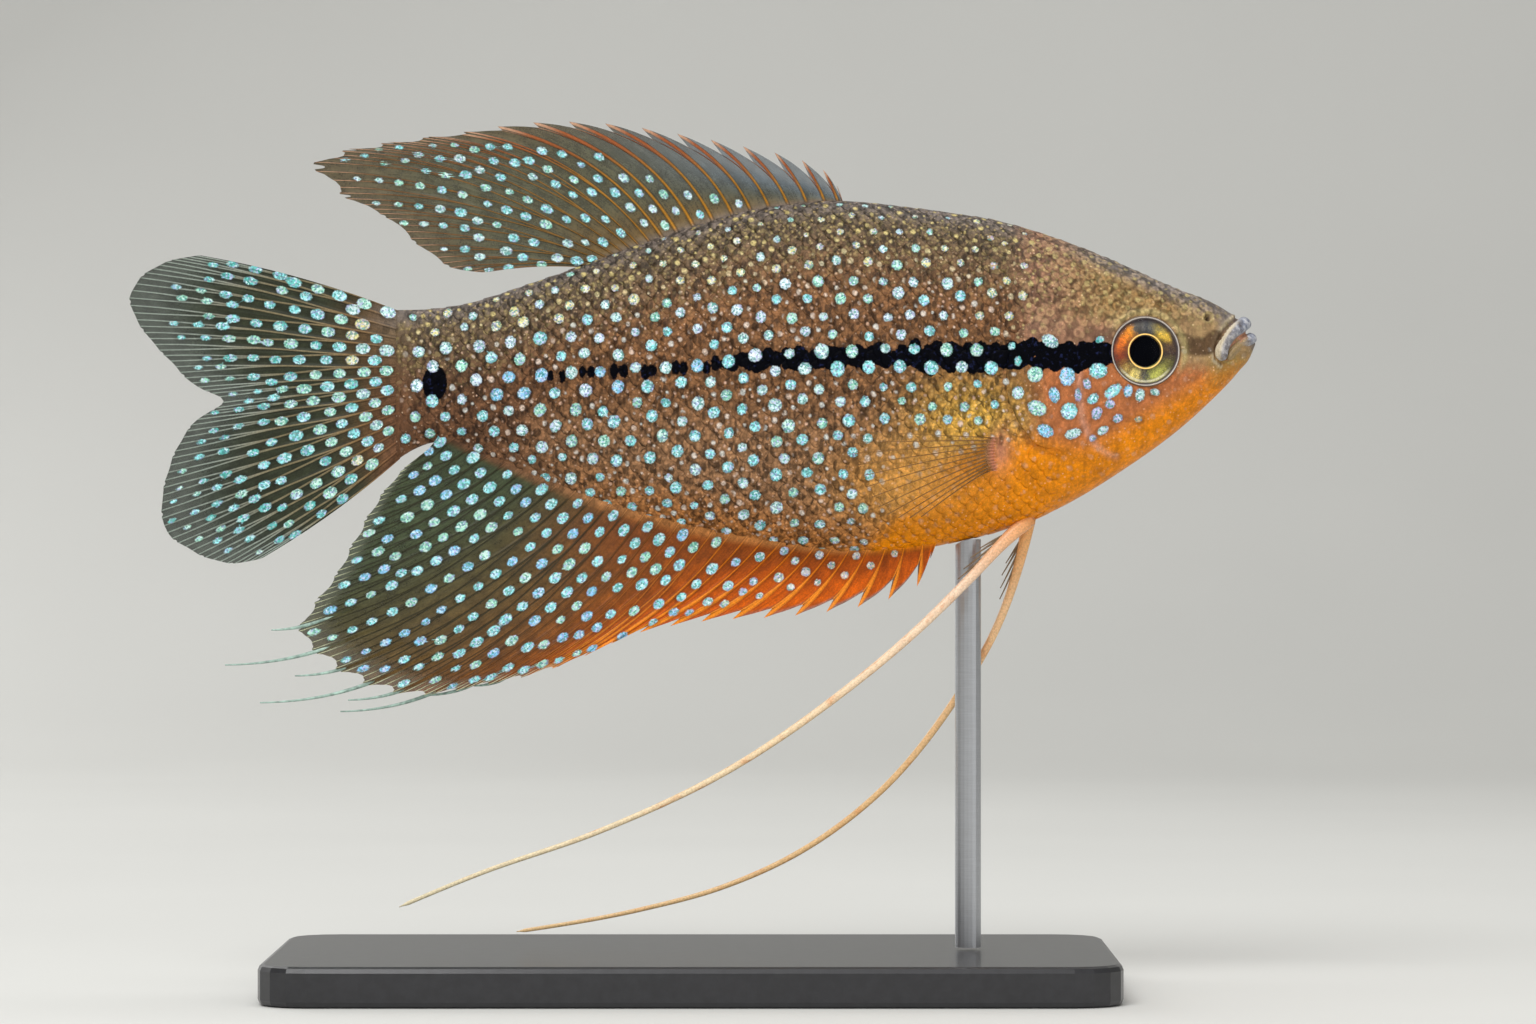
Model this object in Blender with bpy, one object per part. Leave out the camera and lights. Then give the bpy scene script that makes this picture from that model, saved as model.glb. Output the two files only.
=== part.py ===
"""A male pearl gourami as a still, life-size model on a plain display stand.

The fish swims towards +X, its middle plane is Y = 0 and its right side faces -Y. The origin is
the centre of the stand's underside, +Z is up. Every size below is in millimetres, and becomes
metres as each mesh is made.
"""

import math

import bmesh
import bpy
import numpy as np

MM = 0.001
# Space left between two pieces that touch.
GAP = 0.3
RIGHT, LEFT = -1, 1

# The body's outline in its middle plane, from the tail's root to the snout: (x, z).
BACK_LINE = (
    (-29.6, 68.0), (-25.0, 68.2), (-14.3, 71.3), (-3.3, 75.3), (5.7, 78.0), (14.2, 78.9),
    (22.7, 78.1), (31.7, 76.6), (39.7, 73.9), (47.7, 70.4), (53.2, 68.0), (54.6, 67.0),
    (55.6, 65.8), (56.2, 64.7),
)
BELLY_LINE = (
    (-29.6, 53.0), (-27.6, 54.2), (-25.6, 54.8), (-21.3, 53.0), (-13.3, 49.5), (-4.3, 46.5),
    (6.7, 44.2), (15.7, 43.4), (24.7, 44.5), (30.7, 45.9), (34.7, 47.3), (42.7, 51.8),
    (50.7, 57.9), (54.6, 61.9), (55.7, 63.3), (56.2, 64.5),
)
# Half the body's width at its widest level, and the height of that level: (x, value).
HALF_WIDTH = (
    (-29.6, 1.75), (-22.0, 2.7), (-14.0, 3.7), (-4.0, 4.8), (8.0, 5.85), (18.0, 6.35),
    (27.0, 6.45), (34.0, 6.2), (38.7, 5.7), (43.0, 5.05), (47.0, 4.3), (50.0, 3.6),
    (52.5, 2.85), (54.2, 2.2), (55.4, 1.4), (56.2, 0.3),
)
WIDEST_LEVEL = (
    (-29.6, 60.6), (-10.0, 61.2), (5.0, 60.4), (18.0, 59.8), (30.0, 60.2), (38.0, 61.2),
    (45.0, 62.6), (52.0, 64.0), (56.2, 64.6),
)
# How a section closes above and below that level: 1 is an ellipse, more is sharper.
CLOSING_ABOVE = ((-29.6, 1.0), (-10.0, 1.15), (12.0, 1.15), (25.0, 1.05), (38.0, 0.95), (56.2, 0.85))
CLOSING_BELOW = (
    (-29.6, 1.0), (-20.0, 1.25), (0.0, 1.3), (15.0, 1.2), (26.0, 1.0), (34.0, 0.87),
    (44.0, 0.87), (56.2, 0.85),
)
TAIL_END = -29.6
TAIL_CUT = -11.0
SNOUT_END = 56.2
# Points round a section of each piece of the body.
HEAD_POINTS, TRUNK_POINTS, STALK_POINTS = 44, 40, 32
# Past the widest, highest and lowest of the body, where a cutter ends.
PAST_SIDE, PAST_BACK, PAST_BELLY = 14.0, 82.0, 44.0

# The gill cover's rear edge, from above the nape to below the throat: (x, z).
GILL_EDGE = (
    (33.2, 82.0), (33.6, 71.0), (33.8, 66.9), (32.3, 65.7), (31.4, 63.8), (31.1, 61.6),
    (31.2, 59.6), (31.9, 57.6), (33.0, 55.7), (34.5, 53.9), (36.8, 53.0), (39.2, 52.5),
    (42.0, 50.6), (45.0, 44.0),
)
# Its front edge, from below to above.
PREOPERCLE_LINE = ((40.9, 53.1), (39.2, 54.6), (38.3, 57.0), (38.1, 60.5), (38.3, 63.8), (37.2, 66.3))
GILL_COVER_DEPTH = 3.9
GILL_LIFT = 0.35

# The eyes and nostrils.
EYE_CENTRE = (44.95, 63.75)
EYE_RADIUS = 3.42
EYE_HALF_DEPTH = 2.3
EYE_PROUD = 0.35
NOSTRIL_CENTRE = (50.4, 66.7)
NOSTRIL_RADIUS = 0.38

# The lips, from the front of the mouth to its corner: (x, y, z) on the left side.
UPPER_LIP = ((55.15, 0.0, 66.45), (54.75, 1.05, 66.0), (53.75, 1.95, 64.95), (52.65, 2.62, 63.9))
LOWER_LIP = ((55.85, 0.0, 65.1), (55.35, 1.05, 64.6), (54.05, 1.98, 63.75), (52.75, 2.55, 62.95))
LIP_FACING = (-0.7, 0.0, 0.7)
UPPER_LIP_RADII = (0.6, 0.3)
LOWER_LIP_RADII = (0.55, 0.25)

# The free edge of each upright fin: (x, z).
DORSAL_EDGE = (
    (14.5, 80.2), (13.4, 81.6), (11.2, 82.7), (5.6, 84.1), (-0.9, 85.4), (-8.2, 86.5),
    (-15.0, 86.7), (-22.8, 85.8), (-30.3, 84.7), (-34.6, 83.8), (-36.9, 82.7), (-36.2, 81.2),
    (-34.2, 79.4), (-30.3, 77.1), (-26.5, 73.8), (-23.6, 72.1), (-20.5, 71.8),
)
DORSAL_BASE = (15.2, -9.3)
DORSAL_RAYS = 20
# How far along the base a ray stands, by how far along the edge it ends.
DORSAL_SPREAD = ((0.0, 0.0), (0.08, 0.07), (0.2, 0.29), (0.35, 0.53), (0.6, 0.8), (1.0, 1.0))
ANAL_EDGE = (
    (23.9, 43.6), (22.7, 41.0), (20.0, 39.6), (14.0, 38.2), (7.9, 37.5), (2.8, 37.2),
    (-2.8, 36.4), (-6.0, 35.6), (-9.1, 34.2), (-13.3, 32.4), (-20.9, 30.6), (-27.4, 29.9),
    (-32.4, 31.2), (-36.4, 33.5), (-38.9, 36.0), (-37.6, 38.6), (-35.6, 41.5), (-33.9, 44.7),
    (-30.8, 49.9), (-28.0, 52.9), (-26.4, 54.0),
)
ANAL_BASE = (24.6, -25.0)
ANAL_RAYS = 30
TAIL_EDGE = (
    (-49.3, 73.5), (-53.3, 72.6), (-55.4, 71.2), (-56.4, 69.4), (-55.9, 67.4), (-54.5, 65.3),
    (-52.2, 62.8), (-50.0, 60.6), (-47.0, 58.9), (-49.8, 56.9), (-51.6, 54.3), (-52.7, 51.4),
    (-53.2, 48.0), (-52.8, 46.0), (-50.6, 44.2), (-46.0, 42.7), (-43.1, 43.2),
)
TAIL_RAYS = 17
# How far a ray runs on past the membrane, where that is more than the edge's small points.
DORSAL_POINT = 0.7
DORSAL_FREE_RAYS = {12: 1.4, 13: 2.4, 14: 1.8}
ANAL_SPINES = 12
ANAL_SPINE_POINT = 1.2
ANAL_FREE_RAYS = {15: 1.0, 16: 2.5, 17: 9.5, 18: 4.5, 19: 12.0, 20: 3.5, 21: 10.5, 22: 1.5}
SMALL_POINT = 0.35
TRAILING_WAY = (-1.0, -0.02)
# How far a ray stands out from the membrane on each side.
RAY_RIDGE = 0.16
# Half the membrane's thickness at the fin's root and at its edge.
MEMBRANE = (0.5, 0.25)
# How deep the edge dips between two rays, as a share of their length, in front and behind.
DORSAL_DIPS, ANAL_DIPS, TAIL_DIPS = (0.12, 0.03), (0.14, 0.03), (0.02, 0.02)
# Where the rows of points stand between the root and the edge.
DORSAL_ROWS = (0.0, 0.14, 0.3, 0.48, 0.66, 0.83, 1.0)
ANAL_ROWS = (0.0, 0.16, 0.34, 0.55, 0.78, 1.0)
TAIL_ROWS = (0.0, 0.07, 0.16, 0.28, 0.42, 0.56, 0.71, 0.86, 1.0)
PECTORAL_ROWS = (0.0, 0.06, 0.16, 0.35, 0.57, 0.8, 1.0)

# The pectoral fins: the root line and the free edge, top to bottom: (x, z).
PECTORAL_ROOT = ((29.3, 55.2), (29.3, 51.9))
PECTORAL_EDGE = ((16.6, 55.7), (15.9, 54.0), (16.5, 51.9), (17.5, 49.5), (19.0, 47.6), (22.6, 47.3))
PECTORAL_FLARE = 4.2
PECTORAL_RAYS = 9

# The thread of each pelvic fin: (x, distance from the middle plane, z).
PELVIC_THREADS = {
    "right": (
        (33.0, 1.5, 46.6), (31.4, 1.9, 45.2), (27.7, 2.5, 41.3), (22.5, 3.1, 36.2), (14.7, 3.6, 29.7),
        (2.8, 4.0, 21.7), (-9.2, 3.8, 16.1), (-21.3, 3.4, 11.8), (-29.2, 3.0, 8.5),
    ),
    "left": (
        (33.6, 1.5, 46.8), (33.1, 1.9, 44.3), (31.1, 2.4, 37.7), (26.2, 2.9, 28.8), (18.8, 3.4, 19.7),
        (10.7, 3.8, 13.6), (2.8, 4.0, 10.0), (-5.3, 3.9, 7.8), (-17.8, 3.4, 5.6),
    ),
}
THREAD_RADII = {"right": (0.58, 0.28), "left": (0.52, 0.27)}
THREAD_TIP_RADIUS = 0.15
THREAD_LENGTHS = 3
# The share of the thread that its root piece holds, and how much thicker it starts.
ROOT_SHARE = 0.13
ROOT_FLARE = 0.2
# The small rays behind each thread: the share of the root piece passed, and the way off the thread.
SMALL_RAYS = ((0.52, 1.35), (0.72, 1.2), (0.88, 0.85))
SMALL_RAY_RADII = (0.3, 0.12)

# The stand: a flat base and one rod under the breast.
BASE_LENGTH, BASE_WIDTH, BASE_HEIGHT = 84.0, 46.0, 4.0
BASE_CORNER = 5.0
ROD_X = 27.5
ROD_RADIUS = 1.3


def clear_scene():
    for old in list(bpy.data.objects):
        bpy.data.objects.remove(old, do_unlink=True)


def slopes(places, values):
    """The slope at each place of a curve through the values, from the parabola through three of them."""
    steps = np.diff(places)
    rises = np.diff(values, axis=0) / steps.reshape(-1, *[1] * (values.ndim - 1))
    if len(places) == 2:
        return np.stack([rises[0], rises[0]])
    before, after = steps[:-1], steps[1:]
    share = (after / (before + after)).reshape(-1, *[1] * (values.ndim - 1))
    inner = rises[:-1] * share + rises[1:] * (1 - share)
    return np.concatenate([[1.5 * rises[0] - 0.5 * inner[0]], inner, [1.5 * rises[-1] - 0.5 * inner[-1]]])


def smooth_through(places, values, at):
    """The value at each place in at, of a smooth curve through the values."""
    places = np.asarray(places, float)
    values = np.asarray(values, float)
    at = np.clip(np.asarray(at, float), places[0], places[-1])
    left = np.clip(np.searchsorted(places, at, side="right") - 1, 0, len(places) - 2)
    step = places[left + 1] - places[left]
    t = (at - places[left]) / step
    tangents = slopes(places, values)
    if values.ndim > 1:
        step = step[:, None]
        t = t[:, None]
    start = (2 * t**3 - 3 * t**2 + 1) * values[left] + (t**3 - 2 * t**2 + t) * step * tangents[left]
    end = (3 * t**2 - 2 * t**3) * values[left + 1] + (t**3 - t**2) * step * tangents[left + 1]
    return start + end


def size_at(table, x):
    """Read one of the body's tables at x."""
    points = np.asarray(table, float)
    return smooth_through(points[:, 0], points[:, 1], x)


def along(points, fractions):
    """Points at the given fractions of the length of a smooth curve through the points."""
    points = np.asarray(points, float)
    chords = np.linalg.norm(np.diff(points, axis=0), axis=1)
    places = np.concatenate([[0.0], np.cumsum(chords)])
    fine = np.linspace(0.0, places[-1], 40 * len(points))
    dense = smooth_through(places, points, fine)
    run = np.concatenate([[0.0], np.cumsum(np.linalg.norm(np.diff(dense, axis=0), axis=1))])
    wanted = np.asarray(fractions, float) * run[-1]
    return np.stack([np.interp(wanted, run, dense[:, k]) for k in range(points.shape[1])], axis=1)


def flank(x, z):
    """Half the body's width at a point of its side."""
    level = size_at(WIDEST_LEVEL, x)
    above = z > level
    reach = np.where(above, size_at(BACK_LINE, x) - level, level - size_at(BELLY_LINE, x))
    closing = np.where(above, size_at(CLOSING_ABOVE, x), size_at(CLOSING_BELOW, x))
    share = np.clip(np.abs(z - level) / reach, 0.0, 1.0)
    return size_at(HALF_WIDTH, x) * (1 - share**2) ** (closing / 2)


def underside(x, y):
    """The height of the body's lower surface, y away from the middle plane."""
    level = size_at(WIDEST_LEVEL, x)
    share = np.clip(np.abs(y) / size_at(HALF_WIDTH, x), 0.0, 1.0) ** (1 / size_at(CLOSING_BELOW, x))
    return level - (level - size_at(BELLY_LINE, x)) * np.sqrt(1 - share**2)


def gill_lift(x, z):
    """How far the gill cover's rear stands out from the head's side."""
    back = np.clip((40.5 - x) / 7.0, 0.0, 1.0)
    inside = np.clip((z - 50.0) / 4.0, 0.0, 1.0) * np.clip((70.0 - z) / 4.0, 0.0, 1.0)
    return GILL_LIFT * back**2 * (3 - 2 * back) * inside


def section(x, count, lift):
    """The ring of points round the body at x, from its left side over the back."""
    turn = np.arange(count) * 2 * math.pi / count
    across, up = np.cos(turn), np.sin(turn)
    x = np.full(count, float(x))
    level = size_at(WIDEST_LEVEL, x)
    reach = np.where(up > 0, size_at(BACK_LINE, x) - level, level - size_at(BELLY_LINE, x))
    closing = np.where(up > 0, size_at(CLOSING_ABOVE, x), size_at(CLOSING_BELOW, x))
    z = level + reach * up
    y = size_at(HALF_WIDTH, x) * np.abs(across) ** closing
    if lift:
        y = y + gill_lift(x, z) * np.abs(across)
    return np.stack([x, np.sign(across) * y, z], axis=1)


def material(name, colour, roughness, metallic=0.0):
    made = bpy.data.materials.new(name)
    made.use_nodes = True
    shader = made.node_tree.nodes["Principled BSDF"]
    shader.inputs["Base Color"].default_value = (*colour, 1.0)
    shader.inputs["Roughness"].default_value = roughness
    shader.inputs["Metallic"].default_value = metallic
    return made


def solid(name, points, faces, look=None, smooth=True):
    """A mesh object from points in millimetres, with its faces turned outwards."""
    mesh = bpy.data.meshes.new(name)
    mesh.from_pydata([tuple(float(v) * MM for v in point) for point in points], [], faces)
    bm = bmesh.new()
    bm.from_mesh(mesh)
    bmesh.ops.recalc_face_normals(bm, faces=bm.faces)
    bm.to_mesh(mesh)
    bm.free()
    if smooth:
        mesh.shade_smooth()
        mesh.set_sharp_from_angle(angle=math.radians(40))
    made = bpy.data.objects.new(name, mesh)
    bpy.context.scene.collection.objects.link(made)
    if look:
        mesh.materials.append(look)
    return made


def rings_to_solid(name, rings, look=None, smooth=True):
    """A closed solid through rings of equally many points, with a flat face at each end."""
    rings = [np.asarray(ring, float) for ring in rings]
    count = len(rings[0])
    faces = [tuple(range(count))]
    for k in range(len(rings) - 1):
        for i in range(count):
            j = (i + 1) % count
            faces.append((k * count + i, k * count + j, (k + 1) * count + j, (k + 1) * count + i))
    faces.append(tuple((len(rings) - 1) * count + i for i in range(count)))
    return solid(name, np.concatenate(rings), faces, look, smooth)


def tube_rings(path, radii, sides, aside):
    """Rings of a round tube along a path, each square to it. aside is a way that the path never takes."""
    path = np.asarray(path, float)
    tangents = np.gradient(path, axis=0)
    rings = []
    for point, tangent, radius in zip(path, tangents, radii):
        ahead = tangent / np.linalg.norm(tangent)
        beside = np.cross(ahead, aside)
        beside = beside / np.linalg.norm(beside)
        over = np.cross(ahead, beside)
        turn = np.arange(sides) * 2 * math.pi / sides
        rings.append(point + radius * (np.outer(np.cos(turn), beside) + np.outer(np.sin(turn), over)))
    return rings


def prism(name, outline, low_y, high_y, look=None):
    """An outline in the middle plane, drawn out sideways from low_y to high_y."""
    near = [(x, low_y, z) for x, z in outline]
    far = [(x, high_y, z) for x, z in outline]
    return rings_to_solid(name, (near, far), look, smooth=False)


def ball(name, centre, radii, segments, rings, look=None):
    """An ellipsoid whose poles lie across the body."""
    mesh = bpy.data.meshes.new(name)
    bm = bmesh.new()
    bmesh.ops.create_uvsphere(bm, u_segments=segments, v_segments=rings, radius=1.0)
    for vert in bm.verts:
        x, y, z = vert.co
        vert.co = [MM * (c + r * v) for c, r, v in zip(centre, radii, (x, z, -y))]
    bmesh.ops.recalc_face_normals(bm, faces=bm.faces)
    bm.to_mesh(mesh)
    bm.free()
    mesh.shade_smooth()
    made = bpy.data.objects.new(name, mesh)
    bpy.context.scene.collection.objects.link(made)
    if look:
        mesh.materials.append(look)
    return made


def as_cutter(cutter):
    cutter.hide_render = True
    cutter.display_type = "WIRE"
    return cutter


def shape_with(target, tool, operation="DIFFERENCE"):
    """Cut target by tool, or keep only what they share."""
    as_cutter(tool)
    boolean = target.modifiers.new(operation.lower() + "_" + tool.name, "BOOLEAN")
    boolean.object = tool
    boolean.operation = operation
    boolean.solver = "EXACT"


def apply_shaping(target):
    """Apply the cuts, remove what made them, and keep only the largest closed surface."""
    graph = bpy.context.evaluated_depsgraph_get()
    mesh = bpy.data.meshes.new_from_object(target.evaluated_get(graph), depsgraph=graph)
    target.modifiers.clear()
    target.data = mesh
    bm = bmesh.new()
    bm.from_mesh(mesh)
    left = set(bm.verts)
    groups = []
    while left:
        group = {next(iter(left))}
        waiting = list(group)
        while waiting:
            for edge in waiting.pop().link_edges:
                for vert in edge.verts:
                    if vert not in group:
                        group.add(vert)
                        waiting.append(vert)
        left -= group
        groups.append(group)
    largest = max(groups, key=len)
    bmesh.ops.delete(bm, geom=[vert for vert in bm.verts if vert not in largest], context="VERTS")
    bm.to_mesh(mesh)
    bm.free()


def remove_cutters():
    for old in list(bpy.data.objects):
        if old.hide_render:
            bpy.data.objects.remove(old, do_unlink=True)


def outline_offset(outline, distance):
    """The outline with each point moved outwards by distance."""
    points = np.asarray(outline, float)
    ahead = np.roll(points, -1, axis=0) - np.roll(points, 1, axis=0)
    ahead = ahead / np.linalg.norm(ahead, axis=1)[:, None]
    outward = np.stack([ahead[:, 1], -ahead[:, 0]], axis=1)
    following = np.roll(points, -1, axis=0)
    area = np.sum(points[:, 0] * following[:, 1] - following[:, 0] * points[:, 1])
    return points + outward * distance * (1 if area > 0 else -1)


def gill_edge_points(shift):
    """The gill cover's rear edge as a smooth line, moved towards the tail by shift."""
    line = along(GILL_EDGE, np.linspace(0.0, 1.0, 33))
    line[:, 0] -= shift
    return [tuple(point) for point in line]


def gill_cover_outline():
    """The gill cover's outline, with its rear drawn out past the head's rear face."""
    edge = [point for point in GILL_EDGE[2:12]]
    rear = [(x - 3.0, z) for x, z in edge]
    front = along(PREOPERCLE_LINE, np.linspace(0.0, 1.0, 9))
    return rear[:1] + rear[3:8] + [edge[9]] + [tuple(point) for point in front] + [edge[0]]


def make_head(skin, gill_skin):
    places = np.concatenate(
        [np.linspace(29.0, 52.0, 17), SNOUT_END - 4.2 * (1 - np.sin(np.linspace(0.2, math.pi / 2, 8)))]
    )
    rings = [section(x, HEAD_POINTS, True) for x in places]
    covers = []
    for side, word in ((RIGHT, "right"), (LEFT, "left")):
        cover = rings_to_solid("gill_cover_" + word, rings, gill_skin)
        outline = gill_cover_outline()
        near, far = sorted((side * GILL_COVER_DEPTH, side * PAST_SIDE))
        shape_with(cover, prism("gill_cover_limits_" + word, outline, near, far), "INTERSECT")
        covers.append(cover)
    head = rings_to_solid("head", rings, skin)
    behind = gill_edge_points(0.0)
    corners = [(20.0, PAST_BELLY), (20.0, PAST_BACK)]
    rear = prism("behind_gill_edge", behind + corners, -PAST_SIDE, PAST_SIDE)
    for shaped in (head, *covers):
        shape_with(shaped, rear)
    for side, word in ((RIGHT, "right"), (LEFT, "left")):
        outline = outline_offset(gill_cover_outline(), GAP)
        near, far = sorted((side * (GILL_COVER_DEPTH - GAP), side * PAST_SIDE))
        shape_with(head, prism("gill_recess_" + word, outline, near, far))
    return [head, *covers]


def make_eyes(head, look):
    x, z = EYE_CENTRE
    surface = float(flank(np.array([x]), np.array([z]))[0])
    depth = surface + EYE_PROUD - EYE_HALF_DEPTH
    for side, word in ((RIGHT, "right"), (LEFT, "left")):
        centre = (x, side * depth, z)
        ball("eye_" + word, centre, (EYE_RADIUS, EYE_HALF_DEPTH, EYE_RADIUS), 24, 12, look)
        roomy = (EYE_RADIUS + GAP, EYE_HALF_DEPTH + GAP, EYE_RADIUS + GAP)
        shape_with(head, ball("eye_socket_" + word, centre, roomy, 24, 12))


def make_nostrils(head):
    x, z = NOSTRIL_CENTRE
    surface = float(flank(np.array([x]), np.array([z]))[0])
    for side, word in ((RIGHT, "right"), (LEFT, "left")):
        centre = (x, side * surface, z)
        radii = (NOSTRIL_RADIUS, 2 * NOSTRIL_RADIUS, NOSTRIL_RADIUS)
        shape_with(head, ball("nostril_" + word, centre, radii, 8, 6))


def make_lips(head, look):
    for name, half, radii in (
        ("upper_lip", UPPER_LIP, UPPER_LIP_RADII),
        ("lower_lip", LOWER_LIP, LOWER_LIP_RADII),
    ):
        whole = [(x, -y, z) for x, y, z in half[:0:-1]] + list(half)
        fractions = np.linspace(0.0, 1.0, 17)
        path = along(whole, fractions)
        from_front = np.abs(2 * fractions - 1)
        thick = radii[0] + (radii[1] - radii[0]) * from_front
        rounded = np.where(from_front > 0.99, 0.6, 1.0)
        rings_to_solid(name, tube_rings(path, thick * rounded, 8, LIP_FACING), look)
        groove = rings_to_solid(name + "_groove", tube_rings(path, thick + GAP, 8, LIP_FACING))
        shape_with(head, groove)


def make_trunk(skin):
    places = np.linspace(TAIL_CUT + GAP / 2, 45.5, 30)
    trunk = rings_to_solid("trunk", [section(x, TRUNK_POINTS, False) for x in places], skin)
    ahead = gill_edge_points(GAP)
    corners = [(60.0, PAST_BELLY), (60.0, PAST_BACK)]
    front = prism("ahead_of_gill_edge", ahead + corners, -PAST_SIDE, PAST_SIDE)
    shape_with(trunk, front)
    return trunk


def make_tail_stalk(skin):
    places = np.linspace(TAIL_END, TAIL_CUT - GAP / 2, 10)
    rings_to_solid("tail_stalk", [section(x, STALK_POINTS, False) for x in places], skin)


def fin_solid(name, columns, halves, normals, spikes, look):
    """A closed fin from columns of points, root to edge.

    halves is half the thickness at each point and normals the way it is measured. spikes maps a
    column to the points of the free ray that it ends in.
    """
    columns, halves, normals = (np.asarray(part, float) for part in (columns, halves, normals))
    count, rows = columns.shape[:2]
    front = columns + normals * halves[..., None]
    back = columns - normals * halves[..., None]
    points = [*front.reshape(-1, 3), *back.reshape(-1, 3)]

    def f(c, r):
        return c * rows + r

    def b(c, r):
        return (count + c) * rows + r

    faces = []

    def strip(one, two):
        for k in range(len(one) - 1):
            faces.append((one[k], one[k + 1], two[k + 1]))
            faces.append((one[k], two[k + 1], two[k]))

    for c in range(count - 1):
        strip([f(c, r) for r in range(rows)], [f(c + 1, r) for r in range(rows)])
        strip([b(c + 1, r) for r in range(rows)], [b(c, r) for r in range(rows)])
    strip([f(0, r) for r in range(rows)], [b(0, r) for r in range(rows)])
    last = count - 1
    strip([b(last, r) for r in range(rows)], [f(last, r) for r in range(rows)])
    strip([b(c, 0) for c in range(count)], [f(c, 0) for c in range(count)])
    top = rows - 1
    open_from = {}
    for c, path in spikes.items():
        low, high = max(c - 1, 0), min(c + 1, last)
        for k in range(low, high):
            open_from[k] = True
        ring = [f(k, top) for k in range(low, high + 1)] + [b(k, top) for k in range(high, low - 1, -1)]
        middle = columns[c, top]
        spread = np.array([points[k] for k in ring]) - middle
        path = np.asarray(path, float)
        for n, place in enumerate(path[:-1]):
            scale = 1 - (n + 1) / len(path)
            new = len(points)
            points.extend(place + spread * (0.25 + 0.55 * scale))
            fresh = list(range(new, new + len(ring)))
            strip([*ring, ring[0]], [*fresh, fresh[0]])
            ring = fresh
        tip = len(points)
        points.append(path[-1])
        for k in range(len(ring)):
            faces.append((ring[k], ring[(k + 1) % len(ring)], tip))
    for c in range(last):
        if c not in open_from:
            strip([f(c, top), f(c + 1, top)], [b(c, top), b(c + 1, top)])
    return solid(name, points, faces, look)


def ray_columns(rays, beside):
    """Where each column of a fin stands, counted in rays: a ray, then the membrane beside it."""
    places = [0.0]
    for k in range(rays - 1):
        places += [k + beside, k + 1 - beside, k + 1.0]
    return np.array(places)


def free_ray(end, ahead, length, sway, reach):
    """The points of a ray's free end, which bends from the way ahead to the flow past the fish."""
    steps = (0.3, 0.65, 1.0) if length > 2.5 else (0.5, 1.0)
    turning = min(1.0, length / 6)
    path = []
    for step in steps:
        way = ahead * (1 - step * turning) + np.array(TRAILING_WAY) * step * turning
        point = end + way / np.linalg.norm(way) * length * step
        path.append((point[0], sway(point[0], reach), point[1]))
    return path


def notched(front, rear):
    """How deep the membrane dips between two rays, as a share of their length."""
    return lambda fraction: rear + (front - rear) * np.clip(1 - fraction / 0.4, 0.0, 1.0)


def upright_fin(name, root, edge, rays, rows, bulge, thickness, scallop, free, sway, look):
    """A fin in the middle plane, with its rays as ridges.

    root and edge give a point for each fraction from the fin's front to its rear, and free holds
    how far each ray runs on past the membrane.
    """
    places = ray_columns(rays, 0.2)
    fractions = places / (rays - 1)
    is_ray = np.abs(places - np.round(places)) < 1e-6
    roots, ends = root(fractions), edge(fractions)
    dipped = roots + (ends - roots) * (1 - scallop(fractions))[:, None]
    ends = np.where(is_ray[:, None], ends, dipped)
    rows = np.array(rows)
    up = rows[:, None]
    columns, halves, normals, spikes = [], [], [], {}
    for k, fraction in enumerate(fractions):
        chord = ends[k] - roots[k]
        aside = np.array([-chord[1], chord[0]])
        middle = (roots[k] + ends[k]) / 2 + aside * bulge(fraction)
        line = (1 - up) ** 2 * roots[k] + 2 * up * (1 - up) * middle + up**2 * ends[k]
        reach = np.linalg.norm(line - roots[k], axis=1)
        lateral = sway(line[:, 0], reach)
        columns.append(np.stack([line[:, 0], lateral, line[:, 1]], axis=1))
        half = thickness(fraction, rows)
        if is_ray[k]:
            half = half + RAY_RIDGE * (1 - 0.5 * rows)
            ahead = (line[-1] - line[-2]) / np.linalg.norm(line[-1] - line[-2])
            spikes[k] = free_ray(line[-1], ahead, free[int(round(places[k]))], sway, reach[-1])
        halves.append(half)
        normals.append(np.tile((0.0, 1.0, 0.0), (len(rows), 1)))
    return fin_solid(name, columns, halves, normals, spikes, look)


def tapered(root_half, edge_half):
    def thickness(fraction, rows):
        return edge_half + (root_half - edge_half) * (1 - rows) ** 2

    return thickness


def make_dorsal_fin(look):
    def root(fractions):
        share = size_at(DORSAL_SPREAD, fractions)
        x = DORSAL_BASE[0] + (DORSAL_BASE[1] - DORSAL_BASE[0]) * share
        return np.stack([x, size_at(BACK_LINE, x) + GAP], axis=1)

    def edge(fractions):
        return along(DORSAL_EDGE, fractions)

    def sway(x, reach):
        return 0.0016 * reach**2 * np.sin((x - 10.0) / 9.0)

    free = [DORSAL_FREE_RAYS.get(ray, DORSAL_POINT) for ray in range(DORSAL_RAYS)]
    upright_fin(
        "dorsal_fin", root, edge, DORSAL_RAYS, DORSAL_ROWS, lambda f: -0.05 - 0.02 * f,
        tapered(*MEMBRANE), notched(*DORSAL_DIPS), free, sway, look,
    )


def make_anal_fin(look):
    def root(fractions):
        x = ANAL_BASE[0] + (ANAL_BASE[1] - ANAL_BASE[0]) * fractions
        return np.stack([x, size_at(BELLY_LINE, x) - GAP], axis=1)

    def edge(fractions):
        return along(ANAL_EDGE, fractions)

    def sway(x, reach):
        return 0.0012 * reach**2 * np.sin((x + 4.0) / 11.0)

    free = [ANAL_SPINE_POINT if ray < ANAL_SPINES else SMALL_POINT for ray in range(ANAL_RAYS)]
    for ray, length in ANAL_FREE_RAYS.items():
        free[ray] = length
    upright_fin(
        "anal_fin", root, edge, ANAL_RAYS, ANAL_ROWS, lambda f: 0.05 + 0.08 * math.sin(math.pi * f),
        tapered(*MEMBRANE), notched(*ANAL_DIPS), free, sway, look,
    )


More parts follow.
